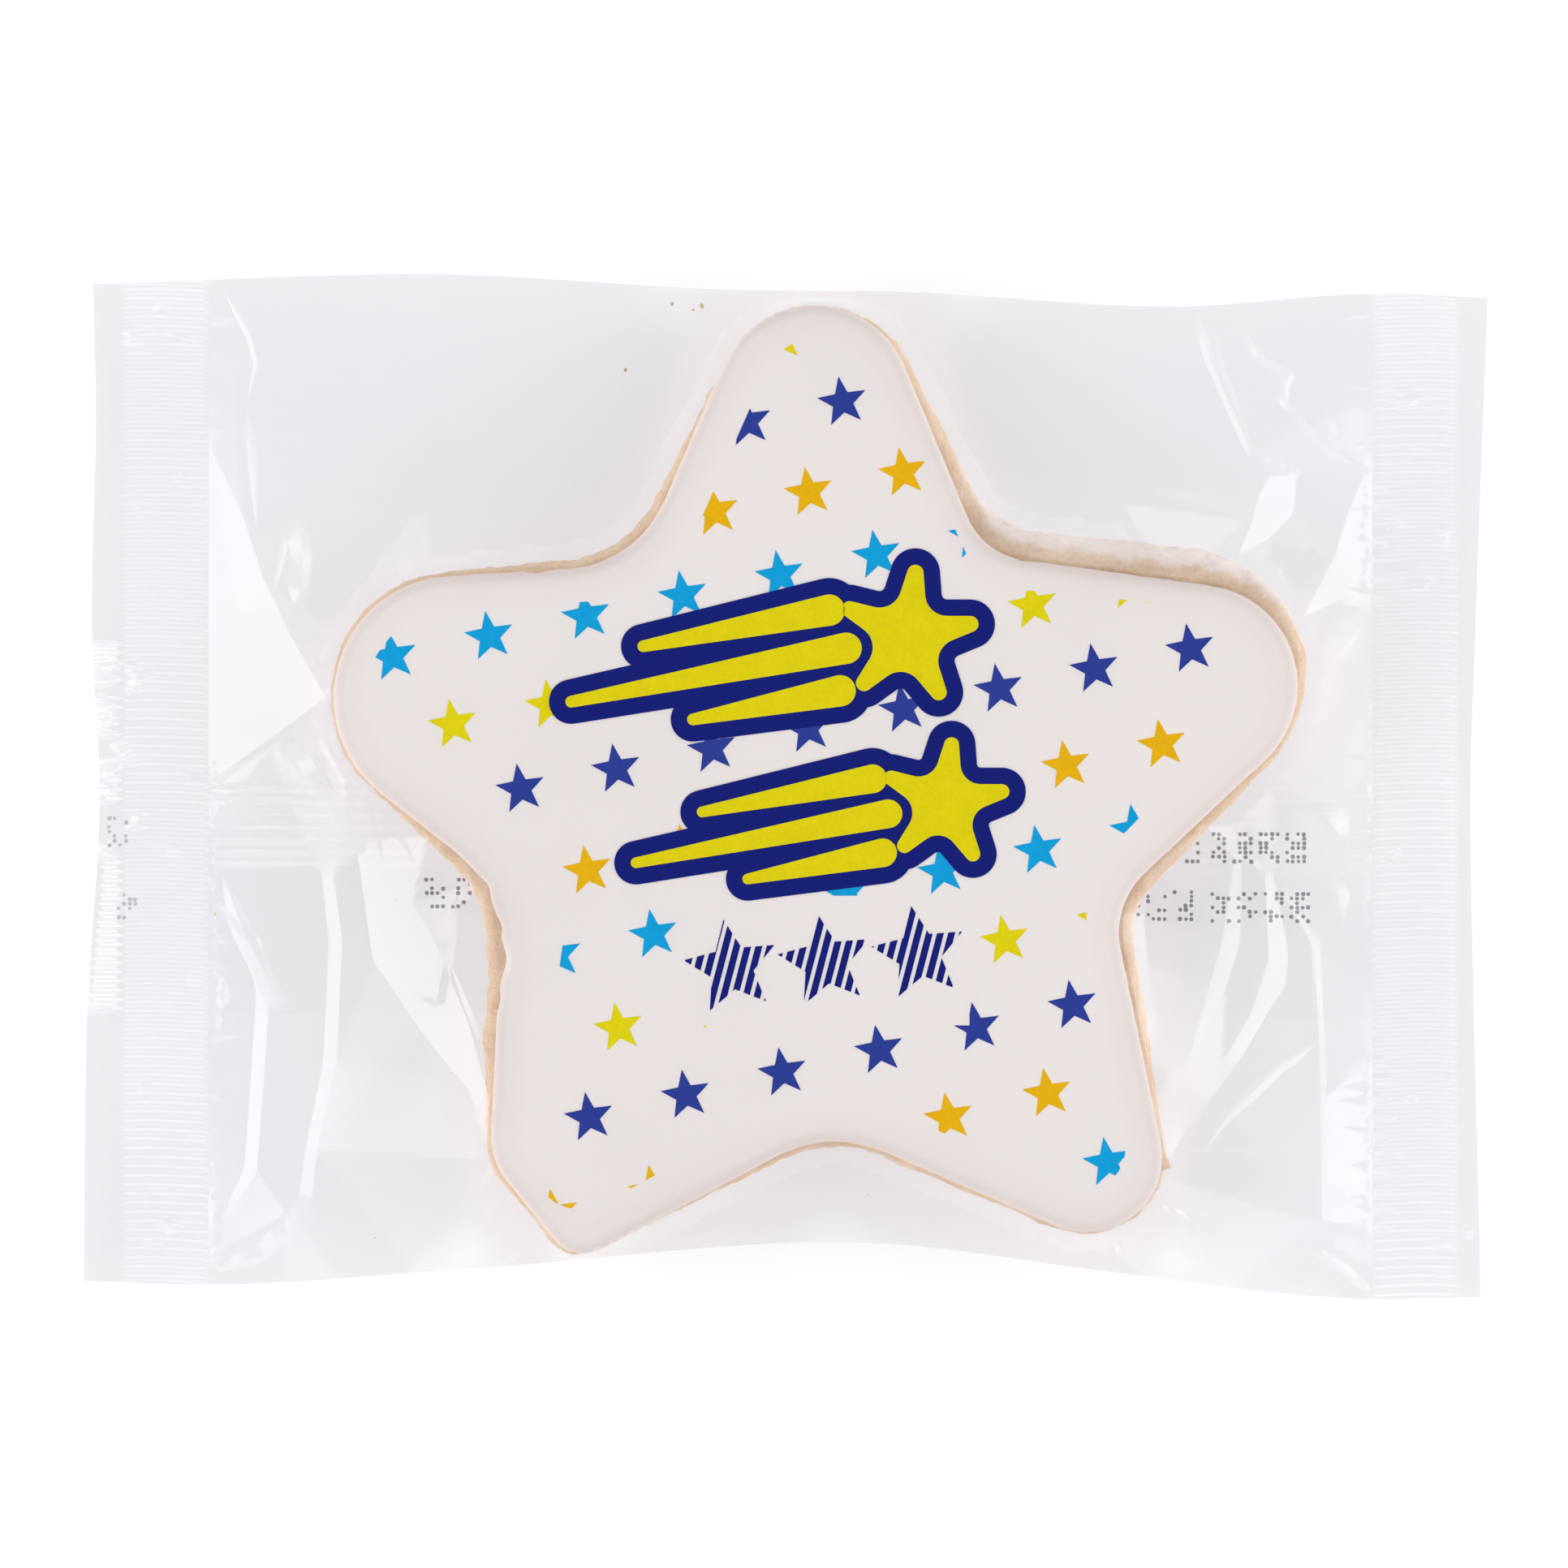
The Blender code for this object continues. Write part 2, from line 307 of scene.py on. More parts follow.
def bevel_rim(piece, level, width, segments):
    """Rounds the edge that runs round a plate at one height."""
    only(piece)
    select_level_rim(piece, level)
    bpy.context.tool_settings.mesh_select_mode = (False, True, False)
    bpy.ops.object.mode_set(mode="EDIT")
    bpy.ops.mesh.bevel(offset=width * MM, segments=segments, profile=0.5, affect="EDGES")
    bpy.ops.object.mode_set(mode="OBJECT")


def mark(piece, name, values):
    """Stores a value with each point, for the piece's material."""
    marks = piece.data.attributes.new(name, "FLOAT", "POINT")
    marks.data.foreach_set("value", values)


def smooth(piece, angle=None):
    """Shades a piece smooth, or only where its faces meet at less than the angle."""
    only(piece)
    if angle is None:
        bpy.ops.object.shade_smooth()
    else:
        bpy.ops.object.shade_smooth_by_angle(angle=math.radians(angle))


def finish(piece, material):
    """Gives a piece its material and its place in the frame."""
    piece.data.materials.clear()
    piece.data.materials.append(material)
    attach(piece, "root")
    return piece


# Materials

def new_material(name):
    """A material with its Principled shader, and its nodes and links."""
    material = bpy.data.materials.new(name)
    material.use_nodes = True
    tree = material.node_tree
    return material, tree.nodes, tree.links, tree.nodes["Principled BSDF"]


def add_node(nodes, kind, **inputs):
    node = nodes.new(kind)
    for name, value in inputs.items():
        node.inputs[name.replace("_", " ")].default_value = value
    return node


def colour(red, green, blue):
    """A colour read as 0 to 255 on screen, as a shader takes it."""
    linear = [(c / 255 / 12.92) if c <= 10 else ((c / 255 + 0.055) / 1.055)**2.4 for c in (red, green, blue)]
    return (*linear, 1.0)


def make_grain_group():
    """Fine grain on a surface: a soft and a fine noise as a mask and as a bumped normal."""
    group = bpy.data.node_groups.new("food_grain", "ShaderNodeTree")
    face = group.interface
    for name, default in (("Soft Scale", 150.0), ("Fine Scale", 1500.0), ("Fine Share", 0.5),
                          ("Bump Height", 0.0001), ("Bump Strength", 0.5)):
        socket = face.new_socket(name, in_out="INPUT", socket_type="NodeSocketFloat")
        socket.default_value = default
    face.new_socket("Mask", in_out="OUTPUT", socket_type="NodeSocketFloat")
    face.new_socket("Normal", in_out="OUTPUT", socket_type="NodeSocketVector")
    nodes, links = group.nodes, group.links
    entry = nodes.new("NodeGroupInput")
    leave = nodes.new("NodeGroupOutput")
    place = nodes.new("ShaderNodeTexCoord")
    soft = add_node(nodes, "ShaderNodeTexNoise", Detail=3.0, Roughness=0.5)
    fine = add_node(nodes, "ShaderNodeTexNoise", Detail=4.0, Roughness=0.65)
    blend = nodes.new("ShaderNodeMix")
    bump = nodes.new("ShaderNodeBump")
    for noise, scale in ((soft, "Soft Scale"), (fine, "Fine Scale")):
        links.new(place.outputs["Object"], noise.inputs["Vector"])
        links.new(entry.outputs[scale], noise.inputs["Scale"])
    links.new(entry.outputs["Fine Share"], blend.inputs["Factor"])
    links.new(soft.outputs["Fac"], blend.inputs["A"])
    links.new(fine.outputs["Fac"], blend.inputs["B"])
    links.new(blend.outputs["Result"], bump.inputs["Height"])
    links.new(entry.outputs["Bump Height"], bump.inputs["Distance"])
    links.new(entry.outputs["Bump Strength"], bump.inputs["Strength"])
    links.new(blend.outputs["Result"], leave.inputs["Mask"])
    links.new(bump.outputs["Normal"], leave.inputs["Normal"])
    return group


def add_grain(nodes, group, soft, fine, share, height, strength):
    grain = nodes.new("ShaderNodeGroup")
    grain.node_tree = group
    values = (("Soft Scale", soft), ("Fine Scale", fine), ("Fine Share", share),
              ("Bump Height", height), ("Bump Strength", strength))
    for name, value in values:
        grain.inputs[name].default_value = value
    return grain


def add_ramp(nodes, stops):
    """A colour ramp with the given places and colours."""
    ramp = nodes.new("ShaderNodeValToRGB")
    elements = ramp.color_ramp.elements
    while len(elements) < len(stops):
        elements.new(0.5)
    for element, (place, shade) in zip(elements, stops):
        element.position = place
        element.color = shade
    return ramp


def set_surface(shader, roughness, specular):
    shader.inputs["Roughness"].default_value = roughness
    shader.inputs["Specular IOR Level"].default_value = specular


def colour_by_mark(nodes, links, grain, attribute, stops, marked_stops):
    """Soft patches of one set of colours, and of another where the piece's points are marked."""
    marks = add_node(nodes, "ShaderNodeAttribute")
    marks.attribute_name = attribute
    blend = nodes.new("ShaderNodeMix")
    blend.data_type = "RGBA"
    links.new(marks.outputs["Fac"], blend.inputs[0])
    for socket, colours in ((6, stops), (7, marked_stops)):
        ramp = add_ramp(nodes, colours)
        links.new(grain.outputs["Mask"], ramp.inputs["Fac"])
        links.new(ramp.outputs["Color"], blend.inputs[socket])
    return blend.outputs[2]


def make_icing(grain_group):
    """Smooth matt icing, a touch warmer in soft patches, with painted shade that darkens and warms it toward
    its edge.
    """
    material, nodes, links, shader = new_material("ivory_icing")
    grain = add_grain(nodes, grain_group, 45.0, 2600.0, 0.35, 0.00005, 0.35)
    plain_icing = ((0.30, colour(238, 233, 228)), (0.70, colour(244, 239, 234)))
    # the edge stops are painted shade where the icing rounds over at its rim
    painted_edge_shade = ((0.30, colour(218, 207, 201)), (0.70, colour(226, 216, 210)))
    links.new(colour_by_mark(nodes, links, grain, "edge_shade", plain_icing, painted_edge_shade), shader.inputs["Base Color"])
    links.new(grain.outputs["Normal"], shader.inputs["Normal"])
    set_surface(shader, 0.62, 0.3)
    return material


def make_biscuit(grain_group):
    """Pale baked crumb in soft patches, browner beside the icing, and painted paler at the outer rim as the
    film's sheen where it lies on it.
    """
    material, nodes, links, shader = new_material("pale_biscuit")
    grain = add_grain(nodes, grain_group, 320.0, 2400.0, 0.55, 0.0003, 0.8)
    crumb = ((0.30, colour(204, 173, 140)), (0.50, colour(220, 193, 164)), (0.75, colour(232, 210, 187)))
    # the rim's pale stops are a painted sheen of the clear film lying against the biscuit
    painted_film_sheen = ((0.30, colour(222, 208, 198)), (0.70, colour(240, 230, 224)))
    links.new(colour_by_mark(nodes, links, grain, "rim_sheen", crumb, painted_film_sheen), shader.inputs["Base Color"])
    links.new(grain.outputs["Normal"], shader.inputs["Normal"])
    set_surface(shader, 0.85, 0.25)
    return material


def make_ink(name, shade, grain_group):
    """Matt edible ink, with the icing's grain in it."""
    material, nodes, links, shader = new_material(name)
    grain = add_grain(nodes, grain_group, 500.0, 2600.0, 0.6, 0.00005, 0.3)
    darker = tuple(0.92 * c for c in shade[:3]) + (1.0,)
    lighter = tuple(min(1.0, 1.08 * c) for c in shade[:3]) + (1.0,)
    ramp = add_ramp(nodes, ((0.30, darker), (0.70, lighter)))
    links.new(grain.outputs["Mask"], ramp.inputs["Fac"])
    links.new(ramp.outputs["Color"], shader.inputs["Base Color"])
    links.new(grain.outputs["Normal"], shader.inputs["Normal"])
    set_surface(shader, 0.6, 0.1)
    return material


def make_film(name, tint, facing_share, grazing_share, grain_group):
    """Thin clear film: the view through it, mixed by angle with its gloss."""
    material, nodes, links, shader = new_material(name)
    leave = nodes["Material Output"]
    clear = nodes.new("ShaderNodeBsdfTransparent")
    clear.inputs["Color"].default_value = tint
    facing = add_node(nodes, "ShaderNodeLayerWeight", Blend=0.5)
    slant = nodes.new("ShaderNodeMath")
    slant.operation = "POWER"
    slant.inputs[1].default_value = 5.0
    both_faces = nodes.new("ShaderNodeMath")
    both_faces.operation = "MULTIPLY_ADD"
    both_faces.inputs[1].default_value = grazing_share
    both_faces.inputs[2].default_value = facing_share
    both_faces.use_clamp = True
    grain = add_grain(nodes, grain_group, 40.0, 500.0, 0.1, 0.000004, 0.15)
    mix = nodes.new("ShaderNodeMixShader")
    links.new(facing.outputs["Facing"], slant.inputs[0])
    links.new(slant.outputs["Value"], both_faces.inputs[0])
    links.new(both_faces.outputs["Value"], mix.inputs["Fac"])
    links.new(clear.outputs["BSDF"], mix.inputs[1])
    links.new(shader.outputs["BSDF"], mix.inputs[2])
    links.new(mix.outputs["Shader"], leave.inputs["Surface"])
    links.new(grain.outputs["Normal"], shader.inputs["Normal"])
    shader.inputs["Base Color"].default_value = (0.96, 0.95, 0.98, 1.0)
    shader.inputs["Metallic"].default_value = 1.0
    shader.inputs["Roughness"].default_value = 0.26
    return material


# The cookie

def icing_relief(x, y):
    """Gentle hills and hollows of the icing sheet."""
    return 0.035 * np.sin(0.13 * x + 0.09 * y + 0.6) + 0.025 * np.sin(0.21 * y - 0.08 * x + 2.1)


# Places on the rim where the biscuit swells or breaks out: centre, reach and push
RIM_LUMPS = (((39.4, -38.7), 0.7, 1.1), ((-29.4, -19.6), 2.4, -0.5), ((-31.0, -26.0), 1.6, 0.4),
             ((41.4, -4.4), 0.9, 0.7), ((36.0, 22.8), 1.5, 0.5), ((46.5, 19.8), 1.2, 0.5))
# Places where the icing draws back from the rim
ICING_DENTS = (((-31.8, -10.6), 1.0, -0.7), ((-30.2, -14.6), 0.9, -0.5), ((-29.6, -18.4), 2.1, -0.9),
               ((-29.9, -22.1), 1.0, -0.4), ((-26.0, 23.0), 1.0, -0.5), ((24.4, 22.6), 0.9, -0.4))


def push_out(points, pushes):
    """Pushes points away from the middle, or toward it, near the given places."""
    for centre, reach, push in pushes:
        away = points[:, :2] / (np.sqrt((points[:, :2]**2).sum(1))[:, None] + 1e-9)
        near = np.exp(-((points[:, :2] - centre)**2).sum(1) / reach**2)
        points[:, :2] += push * near[:, None] * away


def mark_rim_sheen(piece):
    """Marks how far each point lies outside the icing, for the painted film sheen on the rim."""
    points = get_points(piece)
    out = outside_distance(points[:, :2], rounded_outline(ICING_ROUNDS))
    wander = 0.25 * np.sin(1.3 * points[:, 0]) * np.sin(1.7 * points[:, 1])
    mark(piece, "rim_sheen", smooth_step(1.2, 1.9, out + wander))


def make_biscuit_slab(material):
    """The baked star, with rounded edges and a crumbly side."""
    slab = plate("biscuit", rounded_outline(BISCUIT_ROUNDS), BISCUIT_LOW, BISCUIT_TOP)
    bevel_rim(slab, BISCUIT_TOP, BISCUIT_EDGE_ROUND, 4)
    bevel_rim(slab, BISCUIT_LOW, BISCUIT_EDGE_ROUND * 0.8, 3)
    shape_with(slab, "REMESH", mode="VOXEL", voxel_size=BISCUIT_VOXEL * MM)
    for name, size, strength in BISCUIT_LUMPS:
        texture = bpy.data.textures.new(name, "CLOUDS")
        texture.noise_scale = size * MM
        shape_with(slab, "DISPLACE", texture=texture, texture_coords="LOCAL", strength=strength * MM,
                   mid_level=0.58)
    points = get_points(slab)
    push_out(points, RIM_LUMPS)
    points[:, 2] = np.clip(points[:, 2], BISCUIT_LOW, BISCUIT_TOP)
    set_points(slab, points)
    smooth(slab)
    mark_rim_sheen(slab)
    return finish(slab, material)


def make_icing_sheet(material):
    """The icing sheet, with a soft rounded edge, laid on the biscuit."""
    sheet = plate("icing", rounded_outline(ICING_ROUNDS), BISCUIT_TOP - 0.3, ICING_TOP)
    bevel_rim(sheet, ICING_TOP, ICING_EDGE_ROUND, 4)
    shape_with(sheet, "REMESH", mode="VOXEL", voxel_size=ICING_VOXEL * MM)
    shape_with(sheet, "SMOOTH", factor=0.5, iterations=3)
    points = get_points(sheet)
    lift = smooth_step(BISCUIT_TOP, ICING_TOP, points[:, 2])
    points[:, 2] += lift * icing_relief(points[:, 0], points[:, 1])
    push_out(points, ICING_DENTS)
    set_points(sheet, points)
    within = -signed_distance(points[:, :2], rounded_outline(ICING_ROUNDS))
    # painted shade: the icing is darkened in a narrow band at its edge and faintly further in
    painted_edge_shade = 0.25 * (1.0 - smooth_step(0.8, 4.5, within)) + 0.75 * (1.0 - smooth_step(0.3, 1.4, within))
    mark(sheet, "edge_shade", painted_edge_shade)
    smooth(sheet)
    return finish(sheet, material)


def five_point(centre, radius, inner, tip):
    """A pointed star's outline."""
    spokes = [(radius if k % 2 == 0 else radius * inner, tip + math.pi * k / 5) for k in range(10)]
    return [(centre[0] + r * math.cos(a), centre[1] + r * math.sin(a)) for r, a in spokes]


def lay_on_icing(piece, lift):
    """Brings a tall cut-out down to a thin layer of ink on the icing."""
    shape_with(piece, "TRIANGULATE", ngon_method="BEAUTY")
    points = get_points(piece)
    surface = ICING_TOP + icing_relief(points[:, 0], points[:, 1])
    upper = points[:, 2] > (CUT_LOW + CUT_HIGH) / 2
    points[:, 2] = surface + np.where(upper, lift, -INK_SUNK)
    set_points(piece, points)


def finish_print(piece, layers, material):
    """Lays a cut-out on the icing, so many layers of ink thick."""
    lay_on_icing(piece, layers * INK_THICK)
    smooth(piece, PRINT_ANGLE)
    return finish(piece, material)


def combine(piece, operation, other):
    """Joins, keeps or cuts away what another object covers, and removes that object."""
    shape_with(piece, "BOOLEAN", operation=operation, object=other, solver="EXACT")
    bpy.data.objects.remove(other)


def cut_out(name, outline):
    """A piece of print before it is laid on the icing."""
    return plate(name, outline, CUT_LOW, CUT_HIGH)


def tall_plate(name, outline):
    """A cutter that reaches past a cut-out above and below."""
    return plate(name, outline, CUT_LOW - 1.0, CUT_HIGH + 1.0)


def rectangle(low, high):
    return [(low[0], low[1]), (high[0], low[1]), (high[0], high[1]), (low[0], high[1])]


def make_confetti(ink, material):
    """All confetti stars of one ink, cut where the printed area ends."""
    stars = []
    for row_ink, first, step, count in CONFETTI_ROWS:
        for k in range(count if row_ink == ink else 0):
            centre = (first[0] + step[0] * k, first[1] + step[1] * k)
            outline = five_point(centre, CONFETTI_RADIUS, CONFETTI_INNER, CONFETTI_TIP)
            stars.append(cut_out("star", outline))
    confetti = joined(stars, "confetti_" + ink)
    combine(confetti, "INTERSECT", tall_plate("printed_area", rounded_outline(PRINT_ROUNDS)))
    combine(confetti, "DIFFERENCE", tall_plate("clear_panel", rectangle(*CLEAR_PANEL)))
    return finish_print(confetti, 1, material)


# The motif in the middle of the print: two shooting stars, and three striped stars below

NAVY_RIM = 1.7
SHOOTING_STARS = (((12.6, 15.6), 1.2), ((16.4, -1.6), 1.1))
SHOOTING_TILT = math.radians(11.0)
HEAD_TIPS = (5.5, 0.7)
HEAD_NOTCHES = (5.0, -1.9)
# Each bar of a trail: its place across, and where it starts and ends behind the head
TRAIL_BARS = ((3.5, 6.2, 22.5), (0.0, 5.4, 29.5), (-3.5, 6.6, 19.5))
BAR_RADII = (1.35, 0.5)
STRIPED_STARS = ((-5.6, -18.6), (4.1, -18.0), (13.8, -17.2))
STRIPED_RADIUS = 5.0
STRIPED_INNER = 0.46
STRIPE_PITCH = 1.15
STRIPE_WIDTH = 0.72
STRIPE_SLANT = 2.0


def shooting_star(centre, size):
    """The rounds of a soft five-point head and of the bars that trail behind it."""
    head = []
    for k in range(10):
        away, radius = HEAD_TIPS if k % 2 == 0 else HEAD_NOTCHES
        turn = SHOOTING_TILT + math.pi * k / 5
        head.append((centre[0] + size * away * math.cos(turn), centre[1] + size * away * math.sin(turn),
                     size * radius))
    ux, uy = math.cos(SHOOTING_TILT), math.sin(SHOOTING_TILT)
    bars = []
    for across, near, far in TRAIL_BARS:
        bars.append([(centre[0] - size * (ux * d + uy * across), centre[1] - size * (uy * d - ux * across),
                      size * radius) for d, radius in ((far, BAR_RADII[1]), (near, BAR_RADII[0]))])
    return [head] + bars


def make_motif(navy, yellow):
    """Yellow shooting stars on a navy rim."""
    shapes = [rounds for centre, size in SHOOTING_STARS for rounds in shooting_star(centre, size)]
    rim, *others = [cut_out("rim", rounded_outline(grown(rounds, NAVY_RIM), PRINT_STEP)) for rounds in shapes]
    for other in others:
        combine(rim, "UNION", other)
    finish_print(joined([rim], "motif_rim"), 2, navy)
    fills = [cut_out("fill", rounded_outline(rounds, PRINT_STEP)) for rounds in shapes]
    finish_print(joined(fills, "motif_fill"), 3, yellow)


def make_striped_stars(navy):
    """Three small stars printed in slanted stripes."""
    stars = [cut_out("star", five_point(centre, STRIPED_RADIUS, STRIPED_INNER, CONFETTI_TIP))
             for centre in STRIPED_STARS]
    piece = joined(stars, "striped_stars")
    stripes = []
    x = CLEAR_PANEL[0][0] - 2 * STRIPE_SLANT
    while x < CLEAR_PANEL[1][0] + 2 * STRIPE_SLANT:
        foot, head = (x - STRIPE_SLANT, CLEAR_PANEL[0][1] - 1.0), (x + STRIPE_SLANT, CLEAR_PANEL[1][1] + 1.0)
        outline = [foot, (foot[0] + STRIPE_WIDTH, foot[1]), (head[0] + STRIPE_WIDTH, head[1]), head]
        stripes.append(tall_plate("stripe", outline))
        x += STRIPE_PITCH
    combine(piece, "INTERSECT", joined(stripes, "stripes"))
    finish_print(piece, 1, navy)


# The film

# The tight film beside the cookie's arms stands in flat facets: lines of bends, each point
# with its place and height. They hold between these borders and the bag's ends.
FACET_BORDERS = (((-42.0, 54.0), (-36.0, 20.0)), ((-30.0, -54.0), (-23.5, -42.0)),
                 ((37.0, 54.0), (33.5, 21.0)), ((36.0, -54.0), (33.5, -43.5)))
FACET_LINES = (
    # the broad facet beside the left seal
    ((-59.4, 34.6, 2.9), (-56.4, 28.4, 5.1), (-54.1, 21.6, 6.9), (-50.6, 14.6, 8.9), (-47.5, 9.3, 9.9)),
    ((-58.2, 27.5, 3.95), (-57.6, 22.0, 4.4), (-56.2, 14.0, 5.1), (-55.8, 7.5, 4.8)),
    ((-57.4, 40.0, 2.9), (-56.2, 46.5, 3.1)),
    ((-47.5, 9.3, 9.9), (-53.1, 5.3, 6.6), (-59.5, 0.9, 2.9)),
    ((-48.6, 7.0, 7.0), (-53.4, 4.2, 5.0), (-59.4, -0.1, 2.5)),
    # the band from the left arm down to the left leg
    ((-43.3, -0.6, 10.3), (-42.6, -5.3, 6.6), (-38.6, -12.0, 8.1), (-36.5, -15.5, 8.9), (-32.8, -24.3, 10.1),
     (-30.0, -34.4, 10.2)),
    ((-44.4, -7.0, 5.4), (-43.6, -12.5, 5.2), (-42.8, -18.0, 5.0), (-37.2, -26.0, 7.4), (-32.5, -31.6, 9.4)),
    # two narrow bands between that and the left seal, and a wedge below them
    ((-43.9, -0.9, 9.9), (-45.4, -4.6, 7.2), (-46.9, -9.0, 5.0), (-46.0, -15.9, 4.9), (-46.6, -28.4, 4.9),
     (-48.6, -37.7, 4.7), (-49.2, -42.8, 5.1), (-50.6, -44.6, 5.5)),
    ((-48.2, -9.0, 4.2), (-47.4, -15.9, 4.1), (-48.0, -28.4, 4.1), (-49.9, -37.7, 3.9), (-50.5, -42.4, 4.3),
     (-51.9, -44.2, 4.8)),
    ((-54.5, -15.9, 3.8), (-53.6, -21.5, 4.0), (-54.2, -30.7, 4.1), (-54.9, -39.8, 4.4), (-51.9, -44.2, 4.8),
     (-59.6, -48.8, 2.7)),
    ((-56.0, -15.9, 3.0), (-55.0, -21.5, 3.2), (-55.6, -30.7, 3.3), (-56.2, -39.4, 3.5), (-58.3, -44.2, 2.8),
     (-59.2, -47.2, 2.75)),
    # the kite above the right arm, and the wedge beside the right seal
    ((42.5, 49.0, 4.4), (45.7, 40.5, 5.5), (48.3, 34.7, 6.1), (50.1, 32.2, 6.2), (49.0, 30.2, 7.1),
     (48.3, 27.6, 7.9), (46.8, 24.0, 8.6)),
    ((50.1, 32.2, 6.2), (53.0, 32.4, 4.6), (52.8, 28.5, 4.8), (50.1, 25.8, 6.6), (46.8, 24.0, 8.6)),
    ((60.2, 32.5, 2.7), (58.4, 28.5, 3.9), (57.0, 24.0, 4.9), (53.6, 17.6, 7.3), (57.0, 19.2, 5.0),
     (60.7, 20.4, 2.6)),
    ((54.9, 15.6, 4.5), (57.4, 17.4, 3.7), (60.6, 18.8, 2.6)),
    # a narrow band beside the right leg, then two wedges and a long ridge
    ((38.3, -8.6, 9.3), (37.0, -13.0, 8.9), (37.4, -18.0, 8.9), (38.4, -24.0, 9.4), (39.4, -30.0, 10.0)),
    ((46.5, -7.2, 7.2), (45.2, -16.2, 6.8), (43.9, -20.6, 7.0), (41.6, -28.6, 9.0)),
    ((47.3, -6.8, 6.8), (47.1, -16.2, 5.6), (45.6, -21.0, 5.9), (41.9, -28.4, 8.8)),
    ((49.7, -9.0, 6.0), (50.1, -17.9, 5.3), (48.3, -23.3, 5.7), (45.2, -28.6, 7.2), (43.9, -32.2, 8.4)),
    ((50.6, -9.0, 5.4), (52.2, -17.1, 4.1), (51.9, -20.6, 4.0), (50.1, -23.3, 4.7), (47.4, -27.8, 6.1),
     (44.4, -31.8, 8.1)),
    ((54.6, -16.2, 3.9), (55.1, -26.9, 4.3), (55.2, -33.0, 5.6), (55.3, -40.0, 6.5), (55.4, -45.0, 5.9),
     (55.4, -47.4, 4.9)),
    ((55.5, -16.2, 3.5), (56.0, -26.9, 3.8), (56.2, -31.0, 4.6)),
    ((55.2, -33.0, 5.6), (58.1, -30.4, 3.9), (60.6, -29.4, 2.8)),
)

# Narrow folds on top of those, listed from their upper end: points along the ridge, height,
# width to its left and to its right in plan, and the shares of its length over which it
# opens at the start and closes at the end
FOLDS = (
    (((-58.4, 51.6), (-55.6, 47.0), (-54.8, 44.0), (-56.0, 39.5)), 0.25, 0.5, 0.7, 0.30, 0.30),
    (((-56.0, 39.5), (-55.3, 34.5), (-54.9, 27.0)), 0.35, 0.6, 0.5, 0.30, 0.50),
    (((-50.4, 28.2), (-51.8, 26.0), (-53.2, 19.5)), 0.25, 0.4, 0.4, 0.30, 0.40),
    (((-50.6, 28.0), (-49.9, 24.0), (-50.6, 17.6)), 0.75, 1.4, 0.8, 0.15, 0.30),
    (((-54.2, 18.6), (-55.6, 16.8), (-57.4, 18.2)), 0.12, 0.9, 0.8, 0.40, 0.40),
    (((-49.4, 5.0), (-49.0, 2.6), (-46.6, -0.6)), 0.75, 1.6, 0.8, 0.30, 0.50),
    (((-58.6, -9.0), (-56.0, -15.5), (-52.2, -23.1)), 0.60, 1.3, 0.8, 0.30, 0.03),
    (((-42.9, -0.5), (-41.8, -7.6)), 0.20, 0.4, 0.5, 0.40, 0.40),
    (((-42.6, -0.5), (-38.2, -8.0)), 0.20, 0.4, 0.5, 0.40, 0.40),
    (((-33.9, -9.9), (-34.6, -15.0), (-36.3, -22.8)), 0.60, 2.0, 0.9, 0.55, 0.03),
    (((-35.0, -17.3), (-32.0, -24.0), (-28.2, -35.0)), 0.30, 0.6, 0.6, 0.30, 0.30),
    (((-60.0, -41.5), (-59.2, -45.5), (-60.4, -51.2)), 0.45, 0.8, 0.8, 0.30, 0.20),
    (((-58.9, -19.0), (-58.2, -21.5), (-59.0, -24.0)), 0.40, 0.9, 0.6, 0.40, 0.40),
    (((-51.2, -44.8), (-54.0, -48.4), (-59.2, -50.4)), 0.35, 1.2, 0.7, 0.25, 0.30),
    (((42.5, 49.6), (44.0, 44.5), (45.7, 40.5), (48.3, 34.7), (50.6, 32.0)), 0.30, 0.6, 0.5, 0.15, 0.15),
    (((44.6, 47.0), (45.2, 43.0), (47.6, 37.0)), 0.30, 0.5, 0.6, 0.40, 0.40),
    (((47.9, 47.2), (48.8, 44.5), (52.4, 42.9), (51.4, 40.8), (52.2, 39.0), (56.4, 35.0), (60.6, 33.0)),
     0.35, 0.5, 0.5, 0.10, 0.15),
    (((56.6, 38.0), (58.4, 35.6), (60.9, 32.2)), 0.55, 0.7, 1.2, 0.20, 0.30),
    (((60.2, 17.0), (57.0, 13.6), (54.0, 11.2)), 0.35, 0.6, 0.9, 0.40, 0.30),
    (((53.4, -1.6), (56.0, -3.0), (58.4, -6.0)), 0.75, 0.6, 1.8, 0.45, 0.30),
    (((56.2, -8.6), (57.4, -11.0), (57.9, -14.0)), 0.50, 0.6, 1.2, 0.45, 0.40),
    (((55.2, -26.6), (51.2, -29.0), (45.4, -34.4), (43.0, -38.0)), 0.25, 0.4, 0.7, 0.20, 0.40),
    (((54.8, -16.0), (55.4, -27.0), (55.5, -38.0), (55.7, -47.6)), 0.25, 0.4, 0.6, 0.40, 0.04),
    (((53.8, -47.4), (57.6, -49.8), (60.8, -52.4)), 0.40, 0.6, 0.6, 0.20, 0.10),
    (((37.4, -42.8), (41.6, -44.6), (45.8, -47.2)), 0.22, 0.5, 0.5, 0.30, 0.30),
    (((41.0, -37.4), (46.0, -38.2), (52.0, -37.0)), 0.25, 0.6, 0.8, 0.30, 0.40),
    (((40.5, 0.5), (39.6, -4.0), (38.4, -8.4)), 0.45, 0.8, 0.9, 0.40, 0.40),
)
